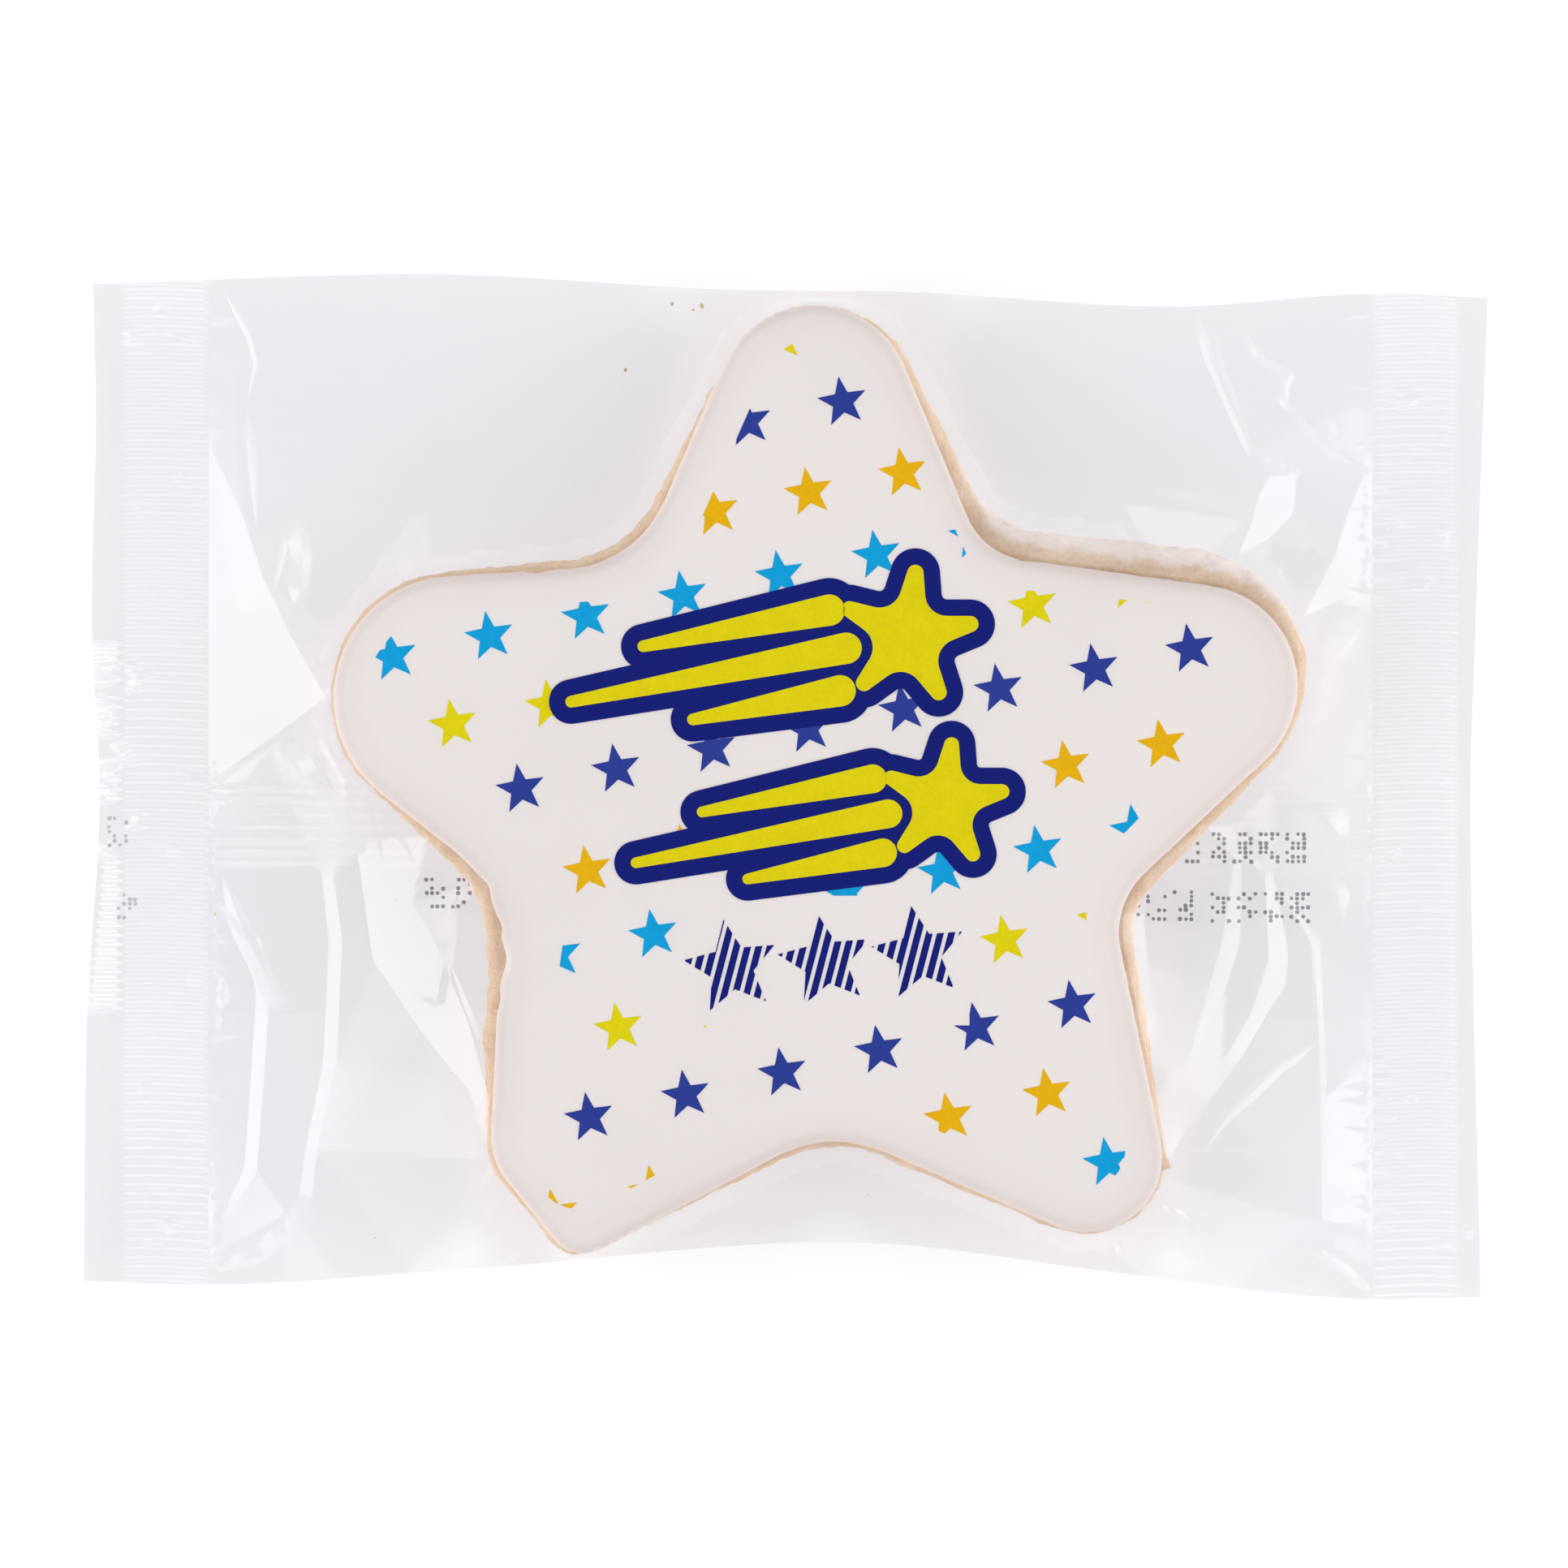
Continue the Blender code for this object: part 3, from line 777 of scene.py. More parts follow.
# Lines of the back seam pressed into the film beside the cookie: height, and both ends across,
# and the rise, widths and shares of length that each one's fold has
SEAM_LINES = ((0.1, -59.6, -50.0), (-1.1, -59.6, -48.0), (-4.1, -59.6, -47.0), (-5.7, -59.6, -46.4),
              (-6.9, -59.6, -46.2), (-8.0, -59.6, -47.4),
              (-5.4, 60.6, 54.0), (-7.0, 60.6, 51.0), (-8.8, 60.6, 48.3))
SEAM_FOLD = (0.21, 0.4, 0.4, 0.04, 0.30)
SEAM_FOLDS = tuple((((first, y), (last, y + 0.15)), *SEAM_FOLD) for y, first, last in SEAM_LINES)
# Tongues of film drawn into the right seal: height and length, and what each one's fold has
TONGUES = ((30.7, 2.6), (29.0, 2.6), (26.7, 3.0), (24.9, 2.5), (23.0, 5.3), (21.4, 3.8), (19.5, 1.4),
           (-28.6, 2.2), (-30.5, 3.4), (-32.6, 2.4), (-34.4, 3.0), (-36.5, 2.2), (-38.3, 3.6), (-40.4, 2.6),
           (-42.1, 2.0), (-44.2, 3.2), (-46.0, 2.4))
TONGUE_FOLD = (0.28, 0.35, 0.6, 0.05, 0.5)
# Steps along a fold where its height is read and where the mesh bends, the film's own step,
# that of the rings round the cookie and that of the pouch's plain outline
FOLD_READ_STEP = 1.2
FOLD_LINE_STEP = 0.7
PLAN_STEP = 0.66
RING_STEP = 0.8
POUCH_STEP = 2.0
# Rings stop this far from a facet's bends, and the film's own grid this share of a step from any line
RING_CLEAR = 1.1
GRID_CLEAR = 0.45
FILM_GAP = 0.06
# The film stays level a little past the icing's edge
LEVEL_OUT = 0.3


def along_path(path, step):
    """Points along a ridge at even steps, with their share of its length."""
    path = np.array(path)
    marks = np.concatenate(([0.0], np.cumsum(np.sqrt(((path[1:] - path[:-1])**2).sum(1)))))
    share = np.linspace(0.0, 1.0, max(3, math.ceil(marks[-1] / step) + 1))
    return np.stack([np.interp(share * marks[-1], marks, path[:, k]) for k in (0, 1)], 1), share


def opening(share, start, end):
    """How far a fold is open along its length."""
    return np.clip(np.minimum(share / start, (1.0 - share) / end), 0.0, 1.0)


def fold_height(points, folds):
    """Height of ridges with a flat side on either hand, as seen from above with the start on top."""
    total = np.zeros(len(points))
    for path, rise, left, right, start, end in folds:
        line, share = along_path(path, FOLD_READ_STEP)
        reach = max(left, right)
        near = np.flatnonzero((np.abs(points - (line.min(0) + line.max(0)) / 2)
                               <= (line.max(0) - line.min(0)) / 2 + reach).all(1))
        here = points[near]
        nearest = np.full(len(near), np.inf)
        ridge = np.zeros(len(near))
        for k in range(len(line) - 1):
            run = math.dist(line[k], line[k + 1])
            along = (line[k + 1] - line[k]) / run
            offset = here - line[k]
            s = np.clip(offset @ along, 0.0, run)
            away = np.sqrt(((offset - s[:, None] * along)**2).sum(1))
            side = along[0] * offset[:, 1] - along[1] * offset[:, 0]
            open_here = opening(share[k] + (share[k + 1] - share[k]) * s / run, start, end)
            height = rise * np.clip(open_here - away / np.where(side > 0, right, left), 0.0, 1.0)
            closer = away < nearest
            nearest = np.where(closer, away, nearest)
            ridge = np.where(closer, height, ridge)
        total[near] += ridge
    return total


def fold_lines(folds):
    """The lines where the film bends: each fold's ridge and the foot of its two sides."""
    lines = []
    for path, _rise, left, right, start, end in folds:
        line, share = along_path(path, FOLD_LINE_STEP)
        along = np.gradient(line, axis=0)
        along /= np.sqrt((along**2).sum(1))[:, None]
        aside = np.stack((-along[:, 1], along[:, 0]), 1)
        width = opening(share, start, end)[:, None]
        lines += [line, line + aside * right * width, line - aside * left * width]
    return lines


def random_folds(seed, count, low, high, length, width, steep):
    """Small folds scattered in a rectangle, mostly across the bag."""
    draw = random.Random(seed)
    folds = []
    for _ in range(count):
        x, y = draw.uniform(low[0], high[0]), draw.uniform(low[1], high[1])
        turn = draw.gauss(0.0, 0.5) + (math.pi / 2 if draw.random() < 0.35 else 0.0)
        reach = draw.uniform(*length) / 2
        dx, dy = reach * math.cos(turn), reach * math.sin(turn)
        half = draw.uniform(*width)
        path = ((x - dx, y - dy), (x + 0.3 * dy, y - 0.3 * dx), (x + dx, y + dy))
        folds.append((path, half * draw.uniform(*steep), half, half * draw.uniform(0.5, 1.6), 0.3, 0.4))
    return folds


# Stretches of the seals' inner edges where the film is crinkled most
CRINKLED = ((LEFT_SEAL[0], -26.0, 2.0), (LEFT_SEAL[0], -50.0, -40.0),
            (RIGHT_SEAL[0], 16.0, 33.0), (RIGHT_SEAL[0], -48.0, -28.0), (RIGHT_SEAL[0], -14.0, 12.0))
# The gathers' stretch along both seals, but for the broad facet's along the left one
GATHER_SPAN = (-49.0, 47.0)
FACET_SPAN = (-1.0, 35.0)


def gathers(seed):
    """Short folds where the film gathers into each end seal, and small dents between them."""
    draw = random.Random(seed)
    folds = []
    for seal, reach in ((LEFT_SEAL[0], 4.5), (RIGHT_SEAL[0], 4.0)):
        side = math.copysign(1.0, seal)
        y = GATHER_SPAN[0]
        while y < GATHER_SPAN[1]:
            y += draw.uniform(0.95, 4.2)
            length = draw.uniform(1.2, reach)
            half = draw.uniform(0.25, 0.6)
            if side < 0 and FACET_SPAN[0] < y < FACET_SPAN[1]:
                continue
            path = ((seal - 0.1 * side, y), (seal - length * side, y + draw.uniform(-0.8, 0.8)))
            folds.append((path, half * draw.uniform(0.3, 0.6), half, half, 0.1, 0.8))
    for seal, low, high in CRINKLED:
        side = math.copysign(1.0, seal)
        y = low
        while y < high:
            y += draw.uniform(0.5, 1.6)
            x = seal - side * draw.uniform(0.3, 1.1)
            half = draw.uniform(0.25, 0.5)
            path = ((x, y + draw.uniform(0.3, 0.7)), (x + draw.uniform(-0.4, 0.4), y - draw.uniform(0.3, 0.7)))
            folds.append((path, half * draw.uniform(0.45, 0.75), half, half, 0.5, 0.5))
    return folds


def ripple_height(points):
    """Slow unevenness of the film where nothing holds it."""
    x, y = points.T
    return (0.10 * np.sin(0.35 * x + 0.18 * y + 1.0) * np.sin(0.24 * y - 0.12 * x)
            + 0.03 * np.sin(0.7 * x - 0.4 * y + 0.4))


def edge_height(points):
    """Height of the middle of the film's two layers at the folds and seals."""
    x, y = points.T
    outward = np.abs(x)
    seal = np.interp(outward, (-LEFT_SEAL[0], -LEFT_SEAL[1]), (SEAL_INNER_Z, SEAL_OUTER_Z))
    wave = SEAL_WAVE * np.sin(math.tau * y / SEAL_WAVE_LENGTH + np.sign(x))
    return FOLD_Z + (seal + wave - FOLD_Z) * smooth_step(*FOLD_RUN, outward)


def pouch_outline(step):
    """The pouch's edge: the two side folds and the inner ends of the seals."""
    xs = np.linspace(LEFT_SEAL[0], RIGHT_SEAL[0], round((RIGHT_SEAL[0] - LEFT_SEAL[0]) / step))
    low, high = through(BOTTOM_EDGE, xs), through(TOP_EDGE, xs)
    loop = []
    for (ax, ay), (bx, by) in (((xs[-1], low[-1]), (xs[-1], high[-1])), ((xs[0], high[0]), (xs[0], low[0]))):
        count = round(abs(by - ay) / step)
        loop.append([(ax, ay + (by - ay) * k / count) for k in range(1, count)])
    return np.concatenate((np.stack((xs, low), 1), loop[0], np.stack((xs, high), 1)[::-1], loop[1]))


def pouch_distances(places):
    """Distances of points to the pouch's own outline, outside the icing and to the biscuit's edge."""
    to_edge = distance_to_loop(places, pouch_outline(POUCH_STEP))
    out_icing = outside_distance(places, rounded_outline(grown(ICING_ROUNDS, LEVEL_OUT)))
    to_biscuit = signed_distance(places, rounded_outline(BISCUIT_ROUNDS))
    return to_edge, out_icing, to_biscuit


# The film comes down over the biscuit's edge to a shoulder, then down its side to a foot,
# and runs out from there to the bag's edge no steeper than the run's rise
SHOULDER_OUT = 0.25
SHOULDER_Z = 9.0
FOOT_RUN = 1.3
FOOT_Z = 7.6
RUN_RISE = 0.27


def drape_height(places):
    """The film's height where it hangs evenly, and how far down its slope each place is."""
    to_edge, out_icing, to_biscuit = pouch_distances(places)
    down = out_icing / np.maximum(out_icing + to_edge, 1e-9)
    middle = edge_height(places) + FILM_GAP
    out_shoulder = to_biscuit - SHOULDER_OUT
    beside = np.maximum(out_shoulder, 0.0)
    foot_run = np.minimum(FOOT_RUN, 0.9 * (beside + to_edge))
    run = np.maximum(beside - foot_run, 0.0)
    foot = np.minimum(FOOT_Z, middle + RUN_RISE * (run + to_edge))
    beyond = middle + (foot - middle) * to_edge / np.maximum(run + to_edge, 1e-9)
    side = np.clip(beside / np.maximum(foot_run, 1e-9), 0.0, 1.0)
    over = out_icing / np.maximum(out_icing - np.minimum(out_shoulder, 0.0), 1e-9)
    height = np.where(out_shoulder < 0.0, TOP_Z + (SHOULDER_Z - TOP_Z) * over,
                      SHOULDER_Z + (beyond - SHOULDER_Z) * side)
    return np.minimum(height, TOP_Z), down, to_edge


def border_place(border, y):
    """How far across a border runs at the given places."""
    (ax, ay), (bx, by) = border
    return ax + (bx - ax) * np.clip((y - ay) / (by - ay), 0.0, 1.0)


def in_facets(places):
    """Which places lie beyond the facets' borders, beside the cookie's arms."""
    x, y = places.T
    upper_left, lower_left, upper_right, lower_right = (border_place(border, y) for border in FACET_BORDERS)
    return (x < np.where(y > 0, upper_left, lower_left)) | (x > np.where(y > 0, upper_right, lower_right))


RING_REACH = 15.0


def side_rings():
    """The film's shoulder and foot where a seal is near, left open where a facet crosses them."""
    lines = [np.array([p[:2] for p in line]) for line in FACET_LINES]
    starts = np.concatenate([line[:-1] for line in lines])
    ends = np.concatenate([line[1:] for line in lines])
    stretches = []
    for out in (SHOULDER_OUT, SHOULDER_OUT + FOOT_RUN):
        ring = rounded_outline(grown(BISCUIT_ROUNDS, out), RING_STEP)
        to_seal = np.minimum(np.abs(ring[:, 0] - LEFT_SEAL[0]), np.abs(ring[:, 0] - RIGHT_SEAL[0]))
        kept = (to_seal < RING_REACH) & (distance_to(ring, starts, ends) > RING_CLEAR)
        stretch = []
        for point, keep in zip(ring, kept):
            if keep:
                stretch.append(point)
            elif len(stretch) > 1:
                stretches.append(np.array(stretch))
            if not keep:
                stretch = []
        if len(stretch) > 1:
            stretches.append(np.array(stretch))
    return stretches


def facet_height(places, height, outline):
    """Stretches flat facets between the cookie, the bends and the bag's ends."""
    icing = rounded_outline(grown(ICING_ROUNDS, LEVEL_OUT), RING_STEP)
    rings = [icing, outline] + [along_path(border, PLAN_STEP)[0] for border in FACET_BORDERS] + side_rings()
    nodes = np.concatenate(rings)
    levels = list(drape_height(nodes)[0])
    levels[:len(icing)] = [TOP_Z] * len(icing)
    edges = []
    first = 0
    for ring in rings:
        edges += [(first + k, first + k + 1) for k in range(len(ring) - 1)]
        first += len(ring)
    edges += [(len(icing) - 1, 0), (len(icing) + len(outline) - 1, len(icing))]
    nodes = [tuple(p) for p in nodes]
    for line in FACET_LINES:
        edges += [(len(nodes) + k, len(nodes) + k + 1) for k in range(len(line) - 1)]
        nodes += [point[:2] for point in line]
        levels += [point[2] for point in line]
    spots, _edges, faces, sources, *_origins = delaunay_2d_cdt([Vector(p) for p in nodes], edges, [], 1, 1e-3)
    spots = np.array([tuple(p) for p in spots])
    level = drape_height(spots)[0]
    for k, source in enumerate(sources):
        if source:
            level[k] = levels[source[-1]]
    corners = spots[np.array(faces)]
    centres = corners.mean(1)
    wanted = in_facets(centres) & ~inside(centres, icing)
    result = height.copy()
    free = np.flatnonzero(in_facets(places))
    here = places[free]
    for (a, b, c), levels_here in zip(corners[wanted], level[np.array(faces)][wanted]):
        box = (here >= np.minimum(np.minimum(a, b), c) - 1e-6).all(1)
        box &= (here <= np.maximum(np.maximum(a, b), c) + 1e-6).all(1)
        near = np.flatnonzero(box)
        if len(near) == 0:
            continue
        area = (b[0] - a[0]) * (c[1] - a[1]) - (c[0] - a[0]) * (b[1] - a[1])
        px, py = here[near].T
        second = ((px - a[0]) * (c[1] - a[1]) - (c[0] - a[0]) * (py - a[1])) / area
        third = ((b[0] - a[0]) * (py - a[1]) - (px - a[0]) * (b[1] - a[1])) / area
        held = (second >= -1e-6) & (third >= -1e-6) & (second + third <= 1.0 + 1e-6)
        near, second, third = near[held], second[held], third[held]
        result[free[near]] = (levels_here[0] + second * (levels_here[1] - levels_here[0])
                              + third * (levels_here[2] - levels_here[0]))
    return result


def make_front_film(material):
    """The film drawn tight over the cookie, down to the folds and the seals."""
    folds = FOLDS + SEAM_FOLDS + tuple(gathers(5))
    outline = pouch_outline(PLAN_STEP)
    inner = outline * 0.9985
    rows = np.arange(outline[:, 1].min(), outline[:, 1].max(), PLAN_STEP * 0.866)
    fill = np.array([(x + PLAN_STEP / 2 * (k % 2), y) for k, y in enumerate(rows)
                     for x in np.arange(outline[:, 0].min(), outline[:, 0].max(), PLAN_STEP)])
    lines = fold_lines(folds) + [along_path([p[:2] for p in line], PLAN_STEP)[0] for line in FACET_LINES]
    icing = rounded_outline(grown(ICING_ROUNDS, LEVEL_OUT), 0.6)
    lines.append(np.concatenate((icing, icing[:1])))
    starts = np.concatenate([line[:-1] for line in lines] + [outline])
    ends = np.concatenate([line[1:] for line in lines] + [np.roll(outline, -1, axis=0)])
    fill = fill[inside(fill, inner) & (distance_to(fill, starts, ends) > PLAN_STEP * GRID_CLEAR)]
    points = [Vector(p) for p in np.concatenate((outline, fill))]
    edges = [(k, (k + 1) % len(outline)) for k in range(len(outline))]
    for line in lines:
        line = line[inside(line, inner)]
        edges += [(len(points) + k, len(points) + k + 1) for k in range(len(line) - 1)]
        points += [Vector(p) for p in line]
    points, _edges, faces, *_origins = delaunay_2d_cdt(points, edges, [], 1, 1e-3)
    places = np.array([tuple(p) for p in points])
    height, down, to_edge = drape_height(places)
    height = facet_height(places, height, outline)
    loose = smooth_step(0.0, 0.10, down) * smooth_step(0.0, 0.8, to_edge)
    height += loose * (fold_height(places, folds) + 0.5 * ripple_height(places))
    data = bpy.data.meshes.new("film_front")
    data.from_pydata([(0.0, 0.0, 0.0)] * len(places), [], faces)
    film = bpy.data.objects.new("film_front", data)
    bpy.context.scene.collection.objects.link(film)
    set_points(film, np.column_stack((places, np.minimum(height, TOP_Z))))
    smooth(film, 5)
    finish(film, material)
    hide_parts("sealed_bag")
    return film


SEAM_BAND = (-9.0, 0.4)
SEAM_PITCH = 1.25
SEAM_RIDGE = 0.15
FLAP_EDGE = -23.6
# The ridges fade in over this stretch out from the middle
SEAM_FADE = (34.0, 40.0)


def seam_ribs(places):
    """Fine ridges of the back seam, where it shows beside the cookie."""
    x, y = places.T
    ridges = SEAM_RIDGE * np.cos(math.tau * (y + 0.01 * x) / SEAM_PITCH)
    return ridges * between(*SEAM_BAND, 0.3, y) * smooth_step(*SEAM_FADE, np.abs(x))


def back_height(places):
    """The film under the cookie: flat on the table, rising to the folds and the seals."""
    to_edge, _out, to_biscuit = pouch_distances(places)
    out_biscuit = np.maximum(to_biscuit, 0.0)
    up = out_biscuit / np.maximum(out_biscuit + to_edge, 1e-9)
    height = (edge_height(places) + FILM_GAP) * up**1.15
    loose = np.clip(4.0 * up * (1.0 - up), 0.0, 1.0)
    height += loose * 0.5 * ripple_height(places) + smooth_step(0.0, 1.5, out_biscuit) * seam_ribs(places)
    return np.maximum(height, 0.2)


def flat_grid(name, columns, rows):
    """A square grid, with each point's share across and up."""
    bpy.ops.object.select_all(action="DESELECT")
    bpy.ops.mesh.primitive_grid_add(x_subdivisions=columns, y_subdivisions=rows, size=2.0)
    piece = bpy.context.object
    piece.name = name
    piece.data.name = name
    points = get_points(piece) * MM
    return piece, (points[:, 0] + 1.0) / 2.0, (points[:, 1] + 1.0) / 2.0


def make_back_film(material):
    """The film under the cookie, from seal to seal and from fold to fold."""
    film, across, up = flat_grid("film_back", 134, 346)
    x = LEFT_SEAL[0] + (RIGHT_SEAL[0] - LEFT_SEAL[0]) * across
    low, high = through(BOTTOM_EDGE, x), through(TOP_EDGE, x)
    places = np.stack((x, low + (high - low) * up), 1)
    set_points(film, np.column_stack((places, back_height(places))))
    smooth(film)
    return finish(film, material)


def make_seam_flap(material):
    """The back seam's flap, folded flat under the bag."""
    flap, across, up = flat_grid("seam_flap", 134, 124)
    x = LEFT_SEAL[0] + (RIGHT_SEAL[0] - LEFT_SEAL[0]) * across
    low = FLAP_EDGE - 0.4 * across + 0.12 * np.sin(0.21 * x)
    places = np.stack((x, low + (SEAM_BAND[1] - low) * up), 1)
    set_points(flap, np.column_stack((places, np.maximum(back_height(places) - 0.1, 0.08))))
    smooth(flap)
    return finish(flap, material)


# Stretches of the left seal's plain margin that are bent down, and how steeply
MARGIN_BENDS = ((-23.2, -7.4), (5.2, 9.4), (10.6, 15.0), (-1.6, 1.8))
MARGIN_SLOPE = 0.62


def margin_drop(y, outward, side, outer):
    """How far the seal's margin is bent down beside the cut, with a toothed fold."""
    fold = abs(outer) + 0.45 + 0.2 * np.sin(math.tau * y / RIB_PITCH)
    bent = sum(MARGIN_SLOPE * between(low, high, 0.3, y) for low, high in MARGIN_BENDS)
    return np.where(side < 0, bent * np.maximum(outward - fold, 0.0), 0.0)


def make_end_seal(name, seal, side_edge, crinkles, material):
    """One crimped end: two films pressed in fine ribs, with a plain strip beside the cut."""
    inner, outer = seal
    side = math.copysign(1.0, inner)
    piece, across, up = flat_grid(name, 36, 900)
    if side < 0:
        across = 1.0 - across
    # both the seal's cut and the bag's folds are slanted, so the points are brought there in turns
    y = -52.0 + 104.0 * up
    for _ in range(6):
        x = inner + (through(side_edge, y) - inner) * across
        low, high = through(BOTTOM_EDGE, x), through(TOP_EDGE, x)
        y = low + (high - low) * up
    places = np.stack((x, y), 1)
    outward = side * x
    ribbed = smooth_step(abs(inner), abs(inner) + 0.35, outward)
    ribbed *= 1.0 - smooth_step(abs(outer) - 0.2, abs(outer) + 0.2, outward)
    depth = RIB_DEPTH + 0.008 * np.sin(0.11 * y + 1.3) * np.sin(0.043 * y + 0.4 * side)
    sway = 0.2 * np.sin(0.35 * outward) + 0.02 * outward
    ribs = depth * np.cos(math.tau * (y + sway) / RIB_PITCH)
    # the seal's inner end stays level with the pouch
    free = smooth_step(0.0, 0.03, across)
    height = edge_height(places) + FILM_GAP + free * (ribs * ribbed + fold_height(places, crinkles))
    height = np.maximum(height - margin_drop(y, outward, side, outer), 0.15)
    set_points(piece, np.column_stack((places, height)))
    shape_with(piece, "SOLIDIFY", thickness=SEAL_THICK * MM, offset=0.0)
    smooth(piece, 50)
    return finish(piece, material)


# Print on the bag's back, seen through the film: rows of plain dots.
# Each row's first cell, and its number of cells
DOT_CELLS = (((41.2, -4.9), 5), ((35.0, -10.9), 3), ((44.4, -11.1), 4), ((-37.4, -9.6), 2))
SEAL_DOT_CELLS = (((-70.4, -3.2), 1), ((-69.4, -10.7), 1))
DOT_PITCH = (0.58, 0.47)
DOT_RADIUS = 0.22
CELL_STEP = 2.75
CELL_SIZE = (4, 7)


def make_dots(name, cells, filled, seed, surface, material):
    """Rows of cells of dots, each cell filled by chance."""
    draw = random.Random(seed)
    dots = []
    for first, count in cells:
        for cell in range(count):
            for column in range(CELL_SIZE[0]):
                for row in range(CELL_SIZE[1]):
                    if draw.random() < filled:
                        x = first[0] + CELL_STEP * cell + DOT_PITCH[0] * column + draw.uniform(-0.04, 0.04)
                        y = first[1] - DOT_PITCH[1] * row + draw.uniform(-0.03, 0.03)
                        dots.append((x, y))
    z = surface(np.array(dots))
    pieces = []
    for (x, y), level in zip(dots, z):
        bpy.ops.mesh.primitive_cylinder_add(vertices=10, radius=DOT_RADIUS * MM * draw.uniform(0.85, 1.1),
                                            depth=0.02 * MM, location=(x * MM, y * MM, (level + 0.05) * MM))
        pieces.append(bpy.context.object)
    piece = joined(pieces, name)
    bpy.ops.object.transform_apply(location=True, rotation=True, scale=True)
    smooth(piece, 30)
    return finish(piece, material)


# Each crumb's place and radius
CRUMBS = ((-11.8, 50.2, 0.22), (-9.6, 49.6, 0.16), (-8.7, 50.0, 0.26), (-16.7, 43.4, 0.2),
          (-42.7, -46.8, 0.09), (-40.5, -11.8, 0.08), (-59.3, -13.2, 0.12), (8.6, -42.4, 0.08))


def make_crumbs(material):
    """A few crumbs shaken out of the biscuit, lying in the bag."""
    draw = random.Random(11)
    pieces = []
    for x, y, size in CRUMBS:
        bpy.ops.mesh.primitive_ico_sphere_add(subdivisions=2, radius=size * MM)
        crumb = bpy.context.object
        lumps = np.array([draw.uniform(0.72, 1.18) for _ in crumb.data.vertices])
        points = get_points(crumb) * lumps[:, None]
        level = back_height(np.array([(x, y)]))[0] + 0.25
        set_points(crumb, points + (x, y, level))
        pieces.append(crumb)
    crumbs = joined(pieces, "crumbs")
    smooth(crumbs)
    return finish(crumbs, material)


# Floor, light and camera

def make_floor():
    bpy.ops.object.select_all(action="DESELECT")
    bpy.ops.mesh.primitive_plane_add(size=4.0, location=(0.0, 0.0, -0.0004))
    floor = bpy.context.object
    floor.name = "floor"
    material, nodes, links, shader = new_material("white_floor")
    shader.inputs["Base Color"].default_value = (0.43, 0.43, 0.43, 1.0)
    set_surface(shader, 0.9, 0.1)
    shader.inputs["Emission Strength"].default_value = 0.58
    shader.inputs["Emission Color"].default_value = (1.0, 1.0, 1.0, 1.0)
    floor.data.materials.append(material)


def add_softbox(name, place, size, watts):
    """A rectangular softbox that faces the cookie."""
    light = bpy.data.lights.new(name, "AREA")
    light.shape = "RECTANGLE"
    light.size, light.size_y = size
    light.energy = watts
    box = bpy.data.objects.new(name, light)
    box.location = place
    box.rotation_euler = (-Vector(place)).to_track_quat("-Z", "Y").to_euler()
    bpy.context.scene.collection.objects.link(box)


SURROUNDINGS = 1.29
# Brightness of the surroundings from straight down to straight up
SKY_LEVELS = ((0.0, 1.0), (0.50, 0.88), (0.72, 0.23), (0.88, 0.08), (0.97, 0.04))
# Each softbox's place and size in metres, and its watts
SOFTBOXES = (
    ("softbox_left", (-0.80, -0.08, 0.34), (0.5, 1.0), 5.3),
    ("softbox_right", (0.80, 0.0, 0.34), (0.5, 0.9), 4.9),
    ("softbox_top", (0.0, 0.70, 0.58), (0.45, 0.30), 1.05),
    ("softbox_bottom", (0.0, -0.80, 0.45), (0.9, 0.5), 1.4),
)


def make_studio():
    """Even pale surroundings, darker overhead, and a softbox on each of the four sides."""
    world = bpy.data.worlds.new("studio")
    bpy.context.scene.world = world
    world.use_nodes = True
    nodes, links = world.node_tree.nodes, world.node_tree.links
    back = nodes["Background"]
    place = nodes.new("ShaderNodeTexCoord")
    split = nodes.new("ShaderNodeSeparateXYZ")
    ramp = add_ramp(nodes, [(up, (level, level, level, 1.0)) for up, level in SKY_LEVELS])
    links.new(place.outputs["Generated"], split.inputs["Vector"])
    links.new(split.outputs["Z"], ramp.inputs["Fac"])
    links.new(ramp.outputs["Color"], back.inputs["Color"])
    back.inputs["Strength"].default_value = SURROUNDINGS
    for name, place, size, watts in SOFTBOXES:
        add_softbox(name, place, size, watts)


CAMERA_HEIGHT = 1.2
FRAME_WIDTH = 1932 * 0.0842
SENSOR = 36.0
CAMERA_PLACE = (-0.17, 0.34)


def make_camera():
    """Straight down, with the frame's width set at the height of the film's slopes."""
    data = bpy.data.cameras.new("camera")
    data.sensor_width = SENSOR
    data.lens = SENSOR * (CAMERA_HEIGHT / MM - 5.0) / FRAME_WIDTH
    data.clip_end = 20.0
    camera = bpy.data.objects.new("camera", data)
    camera.location = (CAMERA_PLACE[0] * MM, CAMERA_PLACE[1] * MM, CAMERA_HEIGHT)
    bpy.context.scene.collection.objects.link(camera)
    bpy.context.scene.camera = camera
    bpy.context.scene.view_settings.view_transform = "Standard"


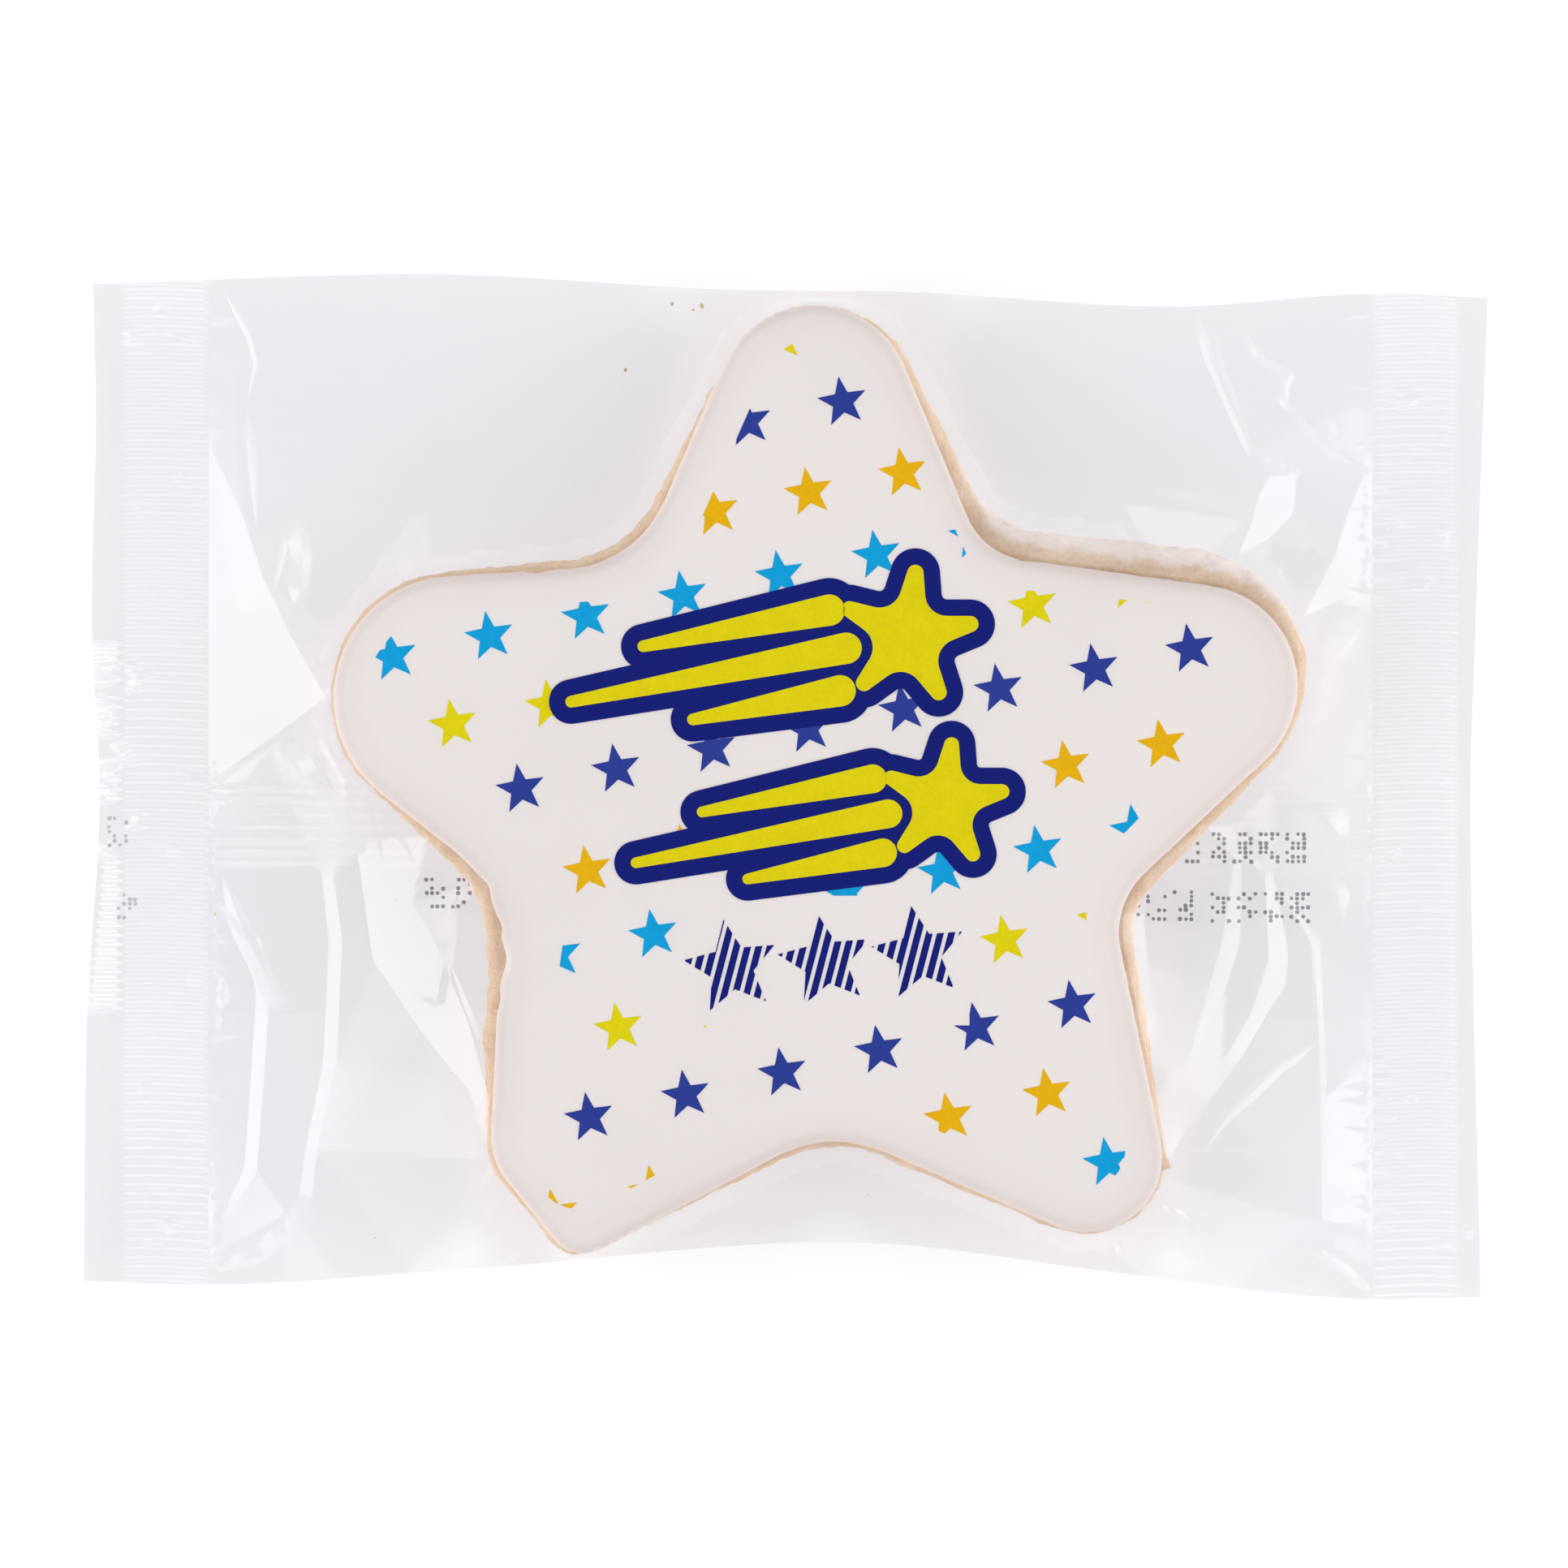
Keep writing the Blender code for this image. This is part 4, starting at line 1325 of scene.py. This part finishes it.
INKS = {
    "yellow": colour(229, 215, 0),
    "indigo": colour(42, 62, 152),
    "orange": colour(237, 183, 0),
    "cyan": colour(0, 164, 222),
    "navy": colour(8, 24, 120),
    "grey": colour(146, 146, 154),
    "pale_grey": colour(188, 186, 192),
}

grain_group = make_grain_group()
biscuit_finish = make_biscuit(grain_group)
make_biscuit_slab(biscuit_finish)
make_icing_sheet(make_icing(grain_group))
inks = {name: make_ink("ink_" + name, shade, grain_group) for name, shade in INKS.items()}
for ink in ("yellow", "indigo", "orange", "cyan"):
    make_confetti(ink, inks[ink])
make_motif(inks["navy"], inks["yellow"])
make_striped_stars(inks["navy"])
film = make_film("clear_film", (0.953, 0.947, 0.961, 1.0), 0.038, 0.9, grain_group)
flap_film = make_film("clear_flap_film", (0.999, 0.998, 0.999, 1.0), 0.012, 0.25, grain_group)
make_front_film(film)
make_back_film(film)
make_seam_flap(flap_film)
left_crinkles = random_folds(21, 16, (-71.5, -6.5), (-67.0, 13.0), (1.5, 4.5), (0.5, 1.1), (0.45, 0.7))
left_crinkles += random_folds(22, 14, (-70.5, -51.0), (-61.0, 51.0), (1.5, 4.0), (0.3, 0.8), (0.2, 0.5))
right_crinkles = random_folds(23, 5, (66.0, -52.0), (71.5, -46.0), (1.2, 2.4), (0.4, 0.8), (0.4, 0.6))
right_crinkles += random_folds(24, 16, (61.5, -34.0), (71.0, 49.0), (1.5, 4.0), (0.3, 0.8), (0.2, 0.5))
right_crinkles += [(((RIGHT_SEAL[0] - 0.5, y), (RIGHT_SEAL[0] + length, y)), *TONGUE_FOLD)
                   for y, length in TONGUES]
make_end_seal("end_seal_left", LEFT_SEAL, LEFT_EDGE, left_crinkles, film)
make_end_seal("end_seal_right", RIGHT_SEAL, RIGHT_EDGE, right_crinkles, film)
grey = inks["grey"]
pale_grey = inks["pale_grey"]
make_dots("back_dots", DOT_CELLS, 0.44, 3, back_height, grey)
make_dots("seal_dots", SEAL_DOT_CELLS, 0.3, 8, lambda places: edge_height(places) + 0.2, pale_grey)
make_crumbs(biscuit_finish)
make_floor()
make_studio()
make_camera()
